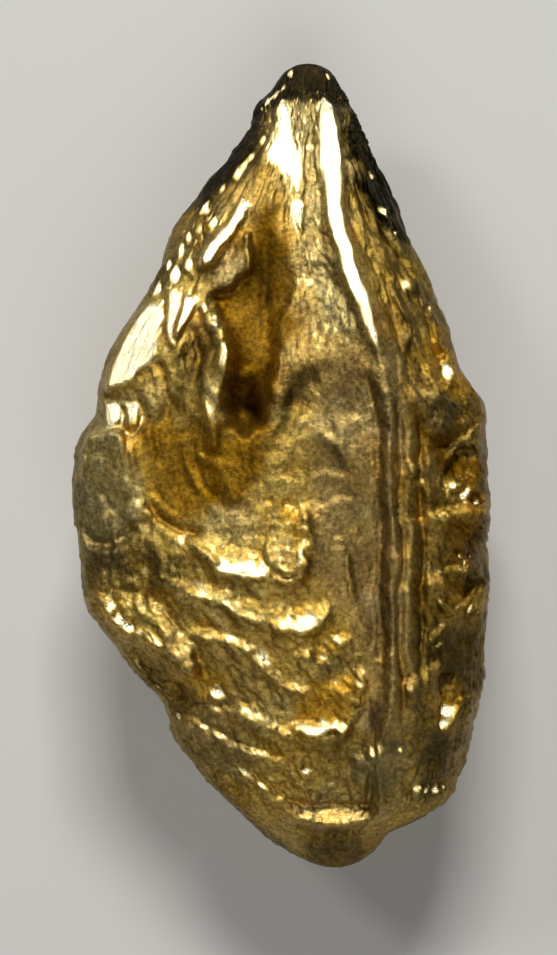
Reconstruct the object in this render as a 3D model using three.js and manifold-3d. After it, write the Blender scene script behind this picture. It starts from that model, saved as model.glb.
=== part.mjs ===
// A gold nugget: one skeletal crystal of native gold, water-worn, shaped like a seed with a blunt tip.
// It lies on its back. Millimetres: X across it, Y from its butt to its tip, Z up from where it lies.
// Every height is first that of a plain body. Its front is stretched over rails, lines that run from tip to
// butt, and its back is one smooth curve. Both are then carved with plates (flat growth faces), ledges (the
// raised lips of growth steps, and plain ridges) and hollows.
import * as THREE from "three";
import { mergeVertices } from "three/addons/utils/BufferGeometryUtils.js";
import Module from "manifold-3d";

const { clamp, lerp, smoothstep } = THREE.MathUtils;

// Driving sizes
const nuggetLength = 24;
const halfLength = nuggetLength / 2;
const rings = 78; // cross-sections between the butt and the tip
const ringPoints = 60; // points round each cross-section
const frontShare = 0.74; // share of those points on the front
const evenShare = 0.55; // 1 spaces the points evenly, 0 crowds them towards the ends and the rim
const rimMargin = 0.5; // the carving fades out this close to the outline
const rimReach = 0.8; // the rim is rounded from this far inside the outline
const rimDrop = 0.6; // and falls this far on the way
const rimShare = 0.3; // but the rounding never takes more than this share of the width
const backLumpScale = 1.6; // the back's lumps are this much higher than the front's
const tipX = 0.75;
const buttX = 1.6;

// The outline and the rim's height, as [y, value] from the tip to the butt
const leftEdge = [
  [12, tipX], [11.75, 0.1], [11.2, -0.3], [10.8, -0.7], [10, -1], [9, -1.75], [8, -2.5], [7, -3.2],
  [6, -3.55], [5, -4.05], [4, -4.75], [3, -5.25], [2.2, -5.45], [1.5, -5.5], [0.9, -5.95], [0.2, -6.1],
  [-1.5, -6.1], [-3, -5.95], [-4.2, -5.75], [-5, -5.15], [-6, -4.45], [-6.9, -3.6], [-7.4, -3.35],
  [-8, -3.25], [-9, -2.55], [-10, -1.6], [-11, -0.6], [-11.6, 0.3], [-12, buttX],
];
const rightEdge = [
  [12, tipX], [11.8, 1.4], [11.2, 1.8], [10, 2.4], [9, 2.8], [8, 3.25], [7, 3.65], [6, 4.05], [5, 4.5],
  [4, 4.95], [3, 5.2], [2.3, 5.6], [1.8, 5.95], [0.5, 6], [-1.4, 6.1], [-2.2, 6], [-3, 6.05], [-5, 6],
  [-6.5, 5.9], [-8, 5.6], [-9.2, 5.25], [-10, 4.85], [-10.6, 3.95], [-11, 3.2], [-11.6, 2.7], [-12, buttX],
];
const rimZ = [
  [12, 3.4], [10.7, 3.9], [9, 4.2], [7, 4.65], [4, 5.1], [0, 5.25], [-4, 5.15], [-7, 4.75], [-9, 4.25],
  [-11, 3.7], [-12, 3.4],
];

// The front's rails from left to right: where each runs, its height, the bulge of the skin before
const rails = [
  // the shoulder inside the left rim
  {
    x: [[11.4, 0.1], [10, -0.35], [9, -0.9], [8, -1.6], [7, -2.4], [6, -2.9], [5, -3.3], [4, -3.9],
      [3, -4.3], [1, -4.4], [-1, -4.3], [-2.5, -4.5], [-4, -4.6], [-5.2, -4.2], [-6.4, -3.3],
      [-7.5, -2.6], [-9, -1.9], [-10.3, -0.7], [-11.3, 0.5]],
    z: [[12, 3.4], [11.2, 3.75], [10.7, 4.05], [9, 4.6], [7, 5.1], [5, 5.4], [3, 5.7], [0, 5.8], [-3, 5.8],
      [-5, 5.6], [-7, 5.3], [-9, 4.8], [-11, 4], [-12, 3.4]],
    bulge: 0.05,
  },
  // the second crest, then the left side of the smooth face
  {
    x: [[11.4, 0.35], [10.6, 0], [9, 0.05], [8, 0.4], [6.9, 0.6], [5.5, 0.7], [4, 0.6], [2, 0.5], [0, 0.7],
      [-3, 1.1], [-6, 1.7], [-8, 1.9], [-10, 1.6], [-11.3, 1.4]],
    z: [[12, 3.4], [11.3, 3.85], [10.7, 4.3], [9, 5.05], [8, 5.45], [6.9, 5.75], [5.5, 6.05], [4, 6.4],
      [2, 6.75], [0, 6.85], [-3, 6.8], [-6, 6.5], [-8, 6], [-10, 5], [-11.3, 4], [-12, 3.4]],
    bulge: 0.35,
  },
  // the main crest
  {
    x: [[11.4, 1], [10.6, 1.3], [9, 1.45], [7, 1.65], [5, 2.2], [3.3, 2.75], [1, 3.1], [-1, 3.15],
      [-4, 3.35], [-7, 3.1], [-9, 2.8], [-11.2, 2.1]],
    z: [[12, 3.4], [11.3, 3.9], [10.7, 4.4], [9, 5.15], [7, 6.05], [5, 6.85], [3.6, 7.3], [2.6, 7.42],
      [0, 7.45], [-3, 7.35], [-6, 7], [-8.2, 6.45], [-10, 5.4], [-11.2, 4.2], [-12, 3.4]],
    bulge: -0.12,
  },
  // the foot of the crest on the right flank
  {
    x: [[11.2, 1.5], [9, 2.3], [7, 2.7], [5, 3.35], [3, 3.85], [1, 4], [-2, 4.15], [-5, 4.2], [-7, 4],
      [-9, 3.8], [-10.5, 3.1], [-11.3, 2.4]],
    z: [[12, 3.4], [10.7, 4.1], [9, 4.65], [7, 5.35], [5, 6.05], [3, 6.65], [1, 6.9], [-2, 6.9],
      [-5, 6.55], [-7, 6.1], [-9, 5.3], [-10.5, 4.4], [-12, 3.4]],
    bulge: -0.05,
  },
];
const lastBulge = 0.12; // of the skin between the last rail and the right rim

// The back: its lowest line, that line's height, how round it is at the crest and at the rim
const backX = [[12, tipX], [8, 0.8], [3, 0.4], [-4, 0.4], [-8, 1], [-12, buttX]];
const backZ = [
  [12, 3.4], [11.2, 2.3], [9.5, 1.3], [7, 0.5], [4, -0.1], [0, -0.3], [-4, -0.3], [-7, 0], [-9.5, 0.8],
  [-11.2, 1.9], [-12, 3.4],
];
const backBulge = { crest: 1.9, rim: 0.75 };

// The front's flat faces: outline, a point on each, its lift over the body, its slope in X and Y
const plates = [
  // the lobe on the left shoulder
  { outline: [[-3.75, 4.7], [-3.55, 3.9], [-3.8, 3.2], [-4.3, 2.5], [-4.9, 2.1], [-5.3, 2.2], [-5.25, 3],
    [-4.7, 3.9], [-4.2, 4.5]], at: [-4.4, 3.3], lift: 0.12, slope: [0.34, -0.34], edge: 0.15 },
  // the small faces beside the arch
  { outline: [[-3.4, 5.1], [-2.4, 4.8], [-2.72, 4.1], [-3.02, 3.5], [-3.42, 3.8]], at: [-3, 4.4],
    lift: 0.16, slope: [0.2, -0.42], edge: 0.15 },
  // the wall left of the deep hollow
  { outline: [[-1, 7.9], [-0.8, 7.5], [-1.5, 6.5], [-2.1, 5.6], [-2.5, 5.9], [-2, 6.8]], at: [-1.6, 6.8],
    lift: 0.3, slope: [0.1, -0.46], edge: 0.2 },
  // the facet at the left corner
  { outline: [[-5.9, 0.9], [-4.7, 1], [-4.35, -0.2], [-4.1, -1], [-4.3, -2], [-5.6, -2.4], [-6.1, -0.6]],
    at: [-5, -0.6], lift: 0.08, slope: [0.42, 0.05], edge: 0.15 },
  // the broad worn plate low on the left
  { outline: [[-4.9, -3.9], [-3.4, -3.6], [-2.6, -4.6], [-2.4, -6.2], [-3.2, -5.6], [-4.3, -5]],
    at: [-3.5, -4.7], lift: 0.1, slope: [0.22, -0.12], edge: 0.15 },
  // the tongue over the first step
  { outline: [[-0.2, -1.2], [0.45, -1.1], [0.72, -2], [0.6, -3], [-0.2, -3], [-0.6, -2.2]],
    at: [0.15, -2.3], lift: 0.22, slope: [0.05, -0.3], edge: 0.2 },
  // the worn lips on the right flank, from the top one down
  { outline: [[4.9, -0.5], [6, -1], [6.1, -1.5], [5.4, -1.3], [4.9, -0.95]], at: [5.4, -0.95], lift: 0.1,
    slope: [-0.2, -0.47], edge: 0.15 },
  { outline: [[4.9, -2.3], [6, -2.3], [6.1, -2.85], [5.3, -2.85]], at: [5.4, -2.6], lift: 0.1,
    slope: [-0.2, -0.47], edge: 0.15 },
  { outline: [[4.6, -3.7], [5.6, -3.9], [6, -3.7], [6, -4.1], [5.3, -4.35], [4.7, -4.15]],
    at: [5.2, -4.05], lift: 0.1, slope: [-0.2, -0.47], edge: 0.15 },
  { outline: [[4.2, -6.9], [5, -6.7], [5.2, -6.9], [4.9, -7.5], [4.4, -7.6]], at: [4.65, -7.2], lift: 0.12,
    slope: [-0.15, -0.47], edge: 0.15 },
];

// Lips and ridges: a path, its rise, and how far it reaches to the left and the right of that path
const frontLedges = [
  // the arch over the inner lobe
  { path: [[-1.9, 0.2], [-2, 1], [-1.9, 2], [-1.6, 2.8], [-1.6, 3.5], [-2, 4.35], [-2.5, 4.65]], rise: 0.3,
    left: 0.6, right: 0.35 },
  // the rim below the left shoulder
  { path: [[-3.7, -1.6], [-4, -1], [-4.2, -0.2], [-4.35, 0.5], [-4.5, 1]], rise: 0.22, left: 0.4,
    right: 0.4 },
  // growth steps low on the left, from the top one down
  { path: [[-3.1, -2], [-2.3, -2.45], [-1.2, -3.15], [-0.4, -3.25], [0.3, -3.35], [0.68, -2.9],
    [0.82, -2.2], [0.7, -1.6], [0.5, -1]], rise: 0.36, left: 1, right: 0.36 },
  { path: [[-3.5, -3.2], [-2.4, -3.8], [-1.2, -4.35], [0, -4.78], [0.7, -4.8], [1.2, -4.4], [1.4, -3.7]],
    rise: 0.34, left: 0.9, right: 0.36 },
  { path: [[-2.7, -4.6], [-2.1, -5.05], [-1.4, -5.15], [-0.3, -6.15], [0.5, -6.55], [1.1, -6.5]],
    rise: 0.3, left: 0.8, right: 0.36 },
  { path: [[0.4, -5.3], [1.1, -5.7], [1.6, -5.4], [1.9, -4.8]], rise: 0.26, left: 0.6, right: 0.36 },
  { path: [[-2.4, -6.9], [-0.9, -7.35], [0.3, -7.95], [1.2, -7.95], [1.8, -7.75], [2.15, -7.2],
    [2.3, -6.4], [2.1, -5.4]], rise: 0.4, left: 1, right: 0.38 },
  { path: [[-2.9, -7.3], [-2.1, -7.9], [-0.5, -8.5], [0.3, -8.8]], rise: 0.3, left: 0.7, right: 0.36 },
  { path: [[-1.7, -8.7], [-0.5, -9.5], [0.7, -10.3], [1.5, -10.55], [2.4, -10.4]], rise: 0.34, left: 0.8,
    right: 0.36 },
  // the edges of the worn plate beside them
  { path: [[-5.5, -3.7], [-5, -4.3], [-4.6, -4.75], [-4.1, -5]], rise: 0.22, left: 0.5, right: 0.36 },
  { path: [[-4.1, -5.15], [-2.9, -5.95], [-2.2, -6.85]], rise: 0.28, left: 0.6, right: 0.36 },
  // growth steps down the right flank
  { path: [[3.9, 3.9], [4.2, 3.2], [4.6, 2.6], [5.1, 2.4], [5.5, 2.7]], rise: 0.3, left: 0.5, right: 0.36 },
  { path: [[3.7, 2.2], [4, 1.4], [4.4, 1.2], [5, 1.1], [5.6, 1.4]], rise: 0.3, left: 0.5, right: 0.36 },
  { path: [[3.6, 0.1], [3.9, -0.5], [4.4, -1], [5.4, -1.25], [6, -1.45]], rise: 0.32, left: 0.5,
    right: 0.36 },
  { path: [[4.3, -1.3], [4.5, -1.9], [4.8, -2.6], [5.3, -2.85], [5.95, -2.75]], rise: 0.3, left: 0.5,
    right: 0.36 },
  { path: [[4.1, -3.2], [4.5, -4], [5, -4.35], [5.95, -4.1]], rise: 0.3, left: 0.5, right: 0.36 },
  { path: [[3.4, -6.1], [3.8, -6.9], [4.25, -7.6], [4.8, -7.65], [5.3, -6.6]], rise: 0.32, left: 0.5,
    right: 0.36 },
  // the lip that ends the crest above the butt
  { path: [[2, -8.8], [2.5, -8.4], [3, -8.3], [3.5, -8.35], [3.9, -8.8]], rise: 0.28, left: 0.4,
    right: 0.4 },
  // the groove down the right side of the crest
  { path: [[3.35, 2], [3.5, -1], [3.72, -2.6], [3.5, -6], [3.35, -8]], rise: -0.28, left: 0.35,
    right: 0.35 },
];
const backLedges = [
  { path: [[-3.6, 5.5], [-2.4, 3.8], [-2.6, 1.6], [-3.6, 0]], rise: 0.4, left: 0.6, right: 0.9 },
  { path: [[4.4, 5], [3.2, 6.4], [2.4, 8.2]], rise: 0.35, left: 0.8, right: 0.5 },
  { path: [[-4.6, -2.4], [-3, -4.6], [-2.2, -7], [-0.6, -8.8]], rise: 0.45, left: 0.9, right: 0.5 },
  { path: [[5.2, -1], [4.2, -3.4], [4.4, -6], [3.4, -8.4]], rise: 0.4, left: 0.5, right: 0.9 },
  { path: [[4.9, 3.4], [3.8, 1.8], [3.6, 0]], rise: 0.3, left: 0.6, right: 0.5 },
];

// Hollows: outline, depth, and how wide their walls are
const frontHollows = [
  // the deep hollow beside the crest, and the pit at its foot
  { outline: [[-0.25, 7.9], [-0.8, 7.3], [-0.95, 6.4], [-1.15, 5.4], [-1.9, 5], [-1.85, 4.5], [-1.45, 3.6],
    [-1.5, 2.2], [-1.6, 1.4], [-1, 0.9], [-0.5, 1.3], [-0.3, 2.4], [-0.1, 3.2], [-0.2, 4.2], [0.3, 5],
    [0.32, 5.8], [0, 6.6], [-0.1, 7.3]], depth: 0.9, wall: 0.5 },
  { outline: [[-1.6, 2.2], [-0.9, 2.35], [-0.45, 1.6], [-0.7, 1.1], [-1.5, 1.2]], depth: 0.5, wall: 0.4 },
  // the smooth bowl left of the first step
  { outline: [[-4, 1.1], [-3.2, 1.2], [-2.3, 0.7], [-1.7, 0.2], [-1.7, -1.4], [-2.2, -1.9], [-3.1, -1.8],
    [-3.8, -1.2]], depth: 0.3, wall: 0.8 },
  // under the arch, and below the worn plate
  { outline: [[-2.7, 4], [-2, 3.9], [-1.9, 3], [-2.3, 2.2], [-2.9, 2.4], [-3, 3.2]], depth: 0.3, wall: 0.4 },
  { outline: [[-4.3, -5.5], [-3.3, -6], [-2.5, -6.9], [-3.2, -7], [-4, -6]], depth: 0.3, wall: 0.4 },
  // scoops down the right flank
  { outline: [[3.9, 4.5], [4.5, 4.3], [5.2, 3.5], [5.2, 3], [4.4, 3]], depth: 0.3, wall: 0.4 },
  { outline: [[4.2, 0.9], [5.8, 0.7], [6, -0.6], [5, -0.6], [4.3, -0.6]], depth: 0.4, wall: 0.5 },
  { outline: [[4.4, -3], [5.9, -3], [5.9, -3.7], [5, -3.9]], depth: 0.3, wall: 0.4 },
  { outline: [[3.9, -5.9], [5.1, -5.8], [5.1, -6.6], [4.5, -7.2]], depth: 0.3, wall: 0.4 },
];
const backHollows = [
  { outline: [[-4.4, 3.6], [-3.2, 3.2], [-3.2, 0.8], [-4.4, -0.4], [-5.2, 1.4]], depth: 0.5, wall: 0.7 },
  { outline: [[0.4, 8.6], [1.6, 8.2], [1.4, 6.6], [0.2, 6.4], [-0.4, 7.6]], depth: 0.4, wall: 0.6 },
  { outline: [[3.4, -7], [2.2, -8.6], [0.8, -8.4], [1.6, -7.2]], depth: 0.35, wall: 0.6 },
];

// Curves and distances

// A smooth function of y through [y, value] pairs. It is smooth in the angle that stands for y: round ends.
const angleOf = (y) => Math.acos(clamp(y / halfLength, -1, 1));
function through(pairs) {
  const knots = pairs.map(([y, value]) => [angleOf(y), value]);
  const slopes = knots.map((knot, i) => {
    const before = knots[Math.max(i - 1, 0)];
    const after = knots[Math.min(i + 1, knots.length - 1)];
    return (after[1] - before[1]) / (after[0] - before[0]);
  });
  return (angle) => {
    let i = 0;
    while (i < knots.length - 2 && angle > knots[i + 1][0]) i += 1;
    const [a, valueA] = knots[i];
    const [b, valueB] = knots[i + 1];
    const t = clamp((angle - a) / (b - a), 0, 1);
    const h = b - a;
    return (
      valueA * (1 + 2 * t) * (1 - t) ** 2 + valueB * t * t * (3 - 2 * t) +
      slopes[i] * h * t * (1 - t) ** 2 + slopes[i + 1] * h * t * t * (t - 1)
    );
  };
}

// Where (x, y) lies from a chain of points: how far, on its left (1) or right (-1), and how far along it.
function nearest(chain, x, y) {
  const best = { distance: Infinity, side: 1, along: 0 };
  for (let i = 0; i < chain.length - 1; i += 1) {
    const a = chain[i];
    const b = chain[i + 1];
    const [dx, dy, px, py] = [b.x - a.x, b.y - a.y, x - a.x, y - a.y];
    const t = clamp((px * dx + py * dy) / (dx * dx + dy * dy), 0, 1);
    const distance = Math.hypot(px - t * dx, py - t * dy);
    if (distance < best.distance) {
      best.distance = distance;
      best.side = dx * py - dy * px < 0 ? -1 : 1;
      best.along = (i + t) / (chain.length - 1);
    }
  }
  return best;
}

const vectors = (points) => points.map(([x, y]) => new THREE.Vector2(x, y));
const smoothChain = (points) => new THREE.SplineCurve(vectors(points)).getPoints(points.length * 6);

// How far (x, y) lies inside a closed outline, negative outside it.
function insideBy(chain, x, y) {
  let inside = false;
  for (let i = 0; i < chain.length - 1; i += 1) {
    const a = chain[i];
    const b = chain[i + 1];
    if (a.y > y !== b.y > y && x < a.x + ((y - a.y) / (b.y - a.y)) * (b.x - a.x)) inside = !inside;
  }
  return nearest(chain, x, y).distance * (inside ? 1 : -1);
}
const closed = (points) => vectors([...points, points[0]]);

// The body
const shape = {
  left: through(leftEdge),
  right: through(rightEdge),
  rimZ: through(rimZ),
  backX: through(backX),
  backZ: through(backZ),
};

// The rails, each placed as a share of the width from the left edge to the right one.
const railCurves = rails.map(({ x, z, bulge }) => ({
  share: through(
    x.map(([y, value]) => {
      const [left, right] = [shape.left(angleOf(y)), shape.right(angleOf(y))];
      return [y, (value - left) / (right - left)];
    }),
  ),
  z: through(z),
  bulge,
}));

// Height of the plain body at (x, y), on its front or its back.
function bodyHeight(x, y, front) {
  const angle = angleOf(y);
  const [left, right, rim] = [shape.left(angle), shape.right(angle), shape.rimZ(angle)];
  const reach = Math.min(rimReach, rimShare * (right - left));
  const drop = rimDrop * (reach / rimReach);
  if (!front) {
    const crest = shape.backX(angle);
    const edge = x < crest ? left : right;
    const out = clamp(Math.abs((x - crest) / (edge - crest || 1)), 0, 1);
    return lerp(rim - drop, shape.backZ(angle), (1 - out ** backBulge.crest) ** backBulge.rim);
  }
  const nearRim = 1 - clamp(Math.min(x - left, right - x) / (reach || 1), 0, 1);
  const rounding = drop * (1 - Math.sqrt(1 - nearRim ** 2));
  const share = clamp((x - left) / (right - left || 1), 0, 1);
  const stations = [
    { share: 0, z: rim },
    ...railCurves.map((rail) => ({ share: rail.share(angle), z: rail.z(angle), bulge: rail.bulge })),
    { share: 1, z: rim, bulge: lastBulge },
  ];
  let i = 1;
  while (i < stations.length - 1 && share > stations[i].share) i += 1;
  const [a, b] = [stations[i - 1], stations[i]];
  const t = clamp((share - a.share) / (b.share - a.share), 0, 1);
  return lerp(a.z, b.z, t) + b.bulge * Math.sqrt(Math.sin(angle)) * 4 * t * (1 - t) - rounding;
}

// What is carved into one side, with its outlines and paths as chains of points.
const carving = (sidePlates, sideLedges, sideHollows) => ({
  plates: sidePlates.map((plate) => ({ ...plate, chain: closed(plate.outline) })),
  ledges: sideLedges.map((ledge) => ({ ...ledge, chain: smoothChain(ledge.path) })),
  hollows: sideHollows.map((hollow) => ({ ...hollow, chain: closed(hollow.outline) })),
});
const frontCarving = carving(plates, frontLedges, frontHollows);
const backCarving = carving([], backLedges, backHollows);

// Low lumps all over, as water leaves them.
const lumps = (x, y, z) =>
  0.05 * Math.sin(1.9 * x + 0.7 * y + 1.3) * Math.sin(1.3 * y - 0.8 * z) +
  0.035 * Math.sin(3.7 * y + 1.1 * x) * Math.sin(3.1 * x - 1.7 * z + 0.6);

// Height of the carved surface at (x, y), on its front or its back.
function carvedHeight(x, y, front) {
  const angle = angleOf(y);
  const body = bodyHeight(x, y, front);
  const out = front ? 1 : -1;
  const { plates: faces, ledges, hollows } = front ? frontCarving : backCarving;
  let height = body;
  for (const { chain, at, lift, slope, edge } of faces) {
    const inside = insideBy(chain, x, y);
    if (inside < -edge) continue;
    const face = bodyHeight(at[0], at[1], front) + lift + slope[0] * (x - at[0]) + slope[1] * (y - at[1]);
    height = lerp(height, face, smoothstep(inside, -edge, edge));
  }
  for (const { chain, rise, left, right } of ledges) {
    const { distance, side, along } = nearest(chain, x, y);
    const reach = side > 0 ? left : right;
    if (distance >= reach) continue;
    const ends = smoothstep(along, 0, 0.15) * (1 - smoothstep(along, 0.85, 1));
    height += out * rise * (1 - (distance / reach) ** 2) ** 2 * ends;
  }
  for (const { chain, depth, wall } of hollows) {
    height -= out * depth * smoothstep(insideBy(chain, x, y), 0, wall);
  }
  height += (front ? 1 : backLumpScale) * lumps(x, y, body);
  const room = Math.min(x - shape.left(angle), shape.right(angle) - x);
  return lerp(body, height, smoothstep(room, 0, rimMargin));
}

// From 1 to -1 as t goes from 0 to 1.
const spaced = (t) => lerp(Math.cos(Math.PI * t), 1 - 2 * t, evenShare);

// A closed loft: a ring of points for each cross-section, and one point at each end.
function nuggetGeometry() {
  const positions = [];
  const faces = [];
  const frontPoints = Math.round(ringPoints * frontShare);
  const backPoints = ringPoints - frontPoints;
  positions.push(tipX, halfLength, shape.rimZ(0));
  for (let ring = 1; ring <= rings; ring += 1) {
    const y = halfLength * spaced(ring / (rings + 1));
    const [left, right] = [shape.left(angleOf(y)), shape.right(angleOf(y))];
    for (let i = 0; i < ringPoints; i += 1) {
      const front = i < frontPoints;
      const turn = front ? spaced(i / frontPoints) : -spaced((i - frontPoints) / backPoints);
      const x = lerp(left, right, (1 + turn) / 2);
      positions.push(x, y, carvedHeight(x, y, front));
    }
  }
  positions.push(buttX, -halfLength, shape.rimZ(Math.PI));
  const last = positions.length / 3 - 1;
  const point = (ring, i) => 1 + ring * ringPoints + (i % ringPoints);
  for (let i = 0; i < ringPoints; i += 1) {
    faces.push(0, point(0, i + 1), point(0, i));
    faces.push(last, point(rings - 1, i), point(rings - 1, i + 1));
    for (let ring = 0; ring < rings - 1; ring += 1) {
      const [a, b, c, d] = [point(ring, i), point(ring + 1, i), point(ring + 1, i + 1), point(ring, i + 1)];
      faces.push(a, c, b, a, d, c);
    }
  }
  const geometry = new THREE.BufferGeometry();
  geometry.setAttribute("position", new THREE.Float32BufferAttribute(positions, 3));
  geometry.setIndex(faces);
  return geometry;
}

// The worn flat it lies on: everything below z = 0 is cut away
const wasm = await Module();
wasm.setup();

function solid(geometry) {
  const bare = geometry.clone();
  bare.deleteAttribute("normal");
  bare.deleteAttribute("uv");
  const merged = mergeVertices(bare);
  return new wasm.Manifold(
    new wasm.Mesh({
      numProp: 3,
      vertProperties: merged.attributes.position.array,
      triVerts: new Uint32Array(merged.index.array),
    }),
  );
}

function geometryOf(manifold) {
  const mesh = manifold.getMesh();
  const geometry = new THREE.BufferGeometry();
  geometry.setAttribute("position", new THREE.BufferAttribute(mesh.vertProperties, 3));
  geometry.setIndex(new THREE.BufferAttribute(mesh.triVerts, 1));
  geometry.computeVertexNormals();
  return geometry;
}

const slabDepth = 4;
const slab = new THREE.BoxGeometry(2 * nuggetLength, 2 * nuggetLength, slabDepth);
slab.translate(0, 0, -slabDepth / 2);

const nativeGold = new THREE.MeshStandardMaterial({ color: 0xc9982f, roughness: 0.35, metalness: 1 });
const nugget = new THREE.Mesh(geometryOf(solid(nuggetGeometry()).subtract(solid(slab))), nativeGold);
nugget.name = "gold_nugget";

const part = new THREE.Group();
part.add(nugget);
export default part;
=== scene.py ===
from types import SimpleNamespace

import bpy
import numpy as np
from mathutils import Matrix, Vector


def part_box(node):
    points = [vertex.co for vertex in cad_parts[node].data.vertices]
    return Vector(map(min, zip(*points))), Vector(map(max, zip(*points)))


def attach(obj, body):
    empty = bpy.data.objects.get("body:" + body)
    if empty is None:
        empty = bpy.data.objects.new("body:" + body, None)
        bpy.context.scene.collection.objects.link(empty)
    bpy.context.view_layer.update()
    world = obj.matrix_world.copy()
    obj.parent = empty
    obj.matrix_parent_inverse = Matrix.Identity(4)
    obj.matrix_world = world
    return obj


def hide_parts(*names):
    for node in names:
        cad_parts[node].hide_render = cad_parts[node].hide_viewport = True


# A gold nugget: one water-worn skeletal crystal of native gold, lying on its back.
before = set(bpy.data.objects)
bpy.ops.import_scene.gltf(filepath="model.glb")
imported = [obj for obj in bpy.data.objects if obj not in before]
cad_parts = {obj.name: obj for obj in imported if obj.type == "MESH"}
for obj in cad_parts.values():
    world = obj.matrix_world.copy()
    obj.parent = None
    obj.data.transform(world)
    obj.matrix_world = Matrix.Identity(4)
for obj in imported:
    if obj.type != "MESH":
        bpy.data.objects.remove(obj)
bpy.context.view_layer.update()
low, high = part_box("gold_nugget")
millimetre = 0.001

# The smooth body. Tables are (y, value) from the tip to the butt, in millimetres about its length's middle.
nugget = {
    "length": 24.0,
    "rows": 400,            # rings of points from tip to butt
    "frontColumns": 178,    # points across the front of each ring
    "backColumns": 68,
    "evenShare": 0.55,      # 1 spaces the points evenly, 0 crowds them at the ends and the rim
    "tipX": 0.75,
    "buttX": 1.6,
    "rimMargin": 0.4,       # carving fades out this close to the rim
    "rimReach": 0.8,        # the rim is rounded from this far inside the outline
    "rimDrop": 0.6,         # and falls this far on the way
    "leftEdge": [
        (12, 0.75), (11.75, 0.1), (11.2, -0.3), (10.8, -0.7), (10, -1), (9, -1.75), (8, -2.5), (7, -3.2),
        (6, -3.55), (5, -4.05), (4, -4.75), (3, -5.25), (2.2, -5.45), (1.5, -5.5), (0.9, -5.95),
        (0.2, -6.1), (-1.5, -6.1), (-3, -5.95), (-4.2, -5.75), (-5, -5.15), (-6, -4.45), (-6.9, -3.6),
        (-7.4, -3.35), (-8, -3.25), (-9, -2.55), (-10, -1.6), (-11, -0.6), (-11.6, 0.3), (-12, 1.6),
    ],
    "rightEdge": [
        (12, 0.75), (11.8, 1.4), (11.2, 1.8), (10, 2.4), (9, 2.8), (8, 3.25), (7, 3.65), (6, 4.05),
        (5, 4.5), (4, 4.95), (3, 5.2), (2.3, 5.6), (1.8, 5.95), (0.5, 6), (-1.4, 6.1), (-2.2, 6),
        (-3, 6.05), (-5, 6), (-6.5, 5.9), (-8, 5.6), (-9.2, 5.25), (-10, 4.85), (-10.6, 3.95),
        (-11, 3.2), (-11.6, 2.7), (-12, 1.6),
    ],
    # the lines that the front is stretched over, from left to right: where each runs, and its height
    "rails": [
        dict(   # the shoulder inside the left rim
            x=[(11.4, 0.1), (10, -0.35), (9, -0.9), (8, -1.6), (7, -2.4), (6, -2.9), (5, -3.3), (4, -3.9),
               (3, -4.3), (1, -4.4), (-1, -4.3), (-2.5, -4.5), (-4, -4.6), (-5.2, -4.2), (-6.4, -3.3),
               (-7.5, -2.6), (-9, -1.9), (-10.3, -0.7), (-11.3, 0.5)],
            z=[(12, 3.4), (11.2, 3.75), (10.7, 4.05), (9, 4.6), (7, 5.1), (5, 5.4), (3, 5.7), (0, 5.8),
               (-3, 5.8), (-5, 5.6), (-7, 5.3), (-9, 4.8), (-11, 4), (-12, 3.4)], bulge=0.05),
        dict(   # the second crest, then the left side of the smooth face
            x=[(11.4, 0.35), (10.6, 0), (9, 0.05), (8, 0.4), (6.9, 0.6), (5.5, 0.7), (4, 0.6), (2, 0.5),
               (0, 0.7), (-3, 1.1), (-6, 1.7), (-8, 1.9), (-10, 1.6), (-11.3, 1.4)],
            z=[(12, 3.4), (11.3, 3.85), (10.7, 4.3), (9, 5.05), (8, 5.45), (6.9, 5.75), (5.5, 6.05), (4, 6.4),
               (2, 6.75), (0, 6.85), (-3, 6.8), (-6, 6.5), (-8, 6), (-10, 5), (-11.3, 4), (-12, 3.4)],
            bulge=0.35),
        dict(   # the main crest
            x=[(11.4, 1), (10.6, 1.3), (9, 1.45), (7, 1.65), (5, 2.2), (3.3, 2.75), (1, 3.1), (-1, 3.15),
               (-4, 3.35), (-7, 3.1), (-9, 2.8), (-11.2, 2.1)],
            z=[(12, 3.4), (11.3, 3.9), (10.7, 4.4), (9, 5.15), (7, 6.05), (5, 6.85), (3.6, 7.3), (2.6, 7.42),
               (0, 7.45), (-3, 7.35), (-6, 7), (-8.2, 6.45), (-10, 5.4), (-11.2, 4.2), (-12, 3.4)],
            bulge=-0.12),
        dict(   # the foot of the crest on the right flank
            x=[(11.2, 1.5), (9, 2.3), (7, 2.7), (5, 3.35), (3, 3.85), (1, 4), (-2, 4.15), (-5, 4.2),
               (-7, 4), (-9, 3.8), (-10.5, 3.1), (-11.3, 2.4)],
            z=[(12, 3.4), (10.7, 4.1), (9, 4.65), (7, 5.35), (5, 6.05), (3, 6.65), (1, 6.9), (-2, 6.9),
               (-5, 6.55), (-7, 6.1), (-9, 5.3), (-10.5, 4.4), (-12, 3.4)], bulge=-0.05),
    ],
    "rimZ": [(12, 3.4), (10.7, 3.9), (9, 4.2), (7, 4.65), (4, 5.1), (0, 5.25), (-4, 5.15), (-7, 4.75),
             (-9, 4.25), (-11, 3.7), (-12, 3.4)],
    "rightBulge": 0.12,     # of the last stretch, down to the right rim
    "backX": [(12, 0.75), (8, 0.8), (3, 0.4), (-4, 0.4), (-8, 1), (-12, 1.6)],
    "backZ": [
        (12, 3.4), (11.2, 2.3), (9.5, 1.3), (7, 0.5), (4, -0.1), (0, -0.3), (-4, -0.3), (-7, 0),
        (-9.5, 0.8), (-11.2, 1.9), (-12, 3.4),
    ],
    "backBulge": (1.9, 0.75),   # how full the back is beside its lowest line, and at the rim
    "bulgeFade": (0.5, 1.8),    # the stretches' bulges fade towards the ends, and are gone at this distance
    "grainWidths": (11, 4),     # the grain is true to size at the first width, and gathers down to the second
}

halfLength = nugget["length"] / 2


def angleOf(y):
    return np.arccos(np.clip(y / halfLength, -1, 1))


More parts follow.
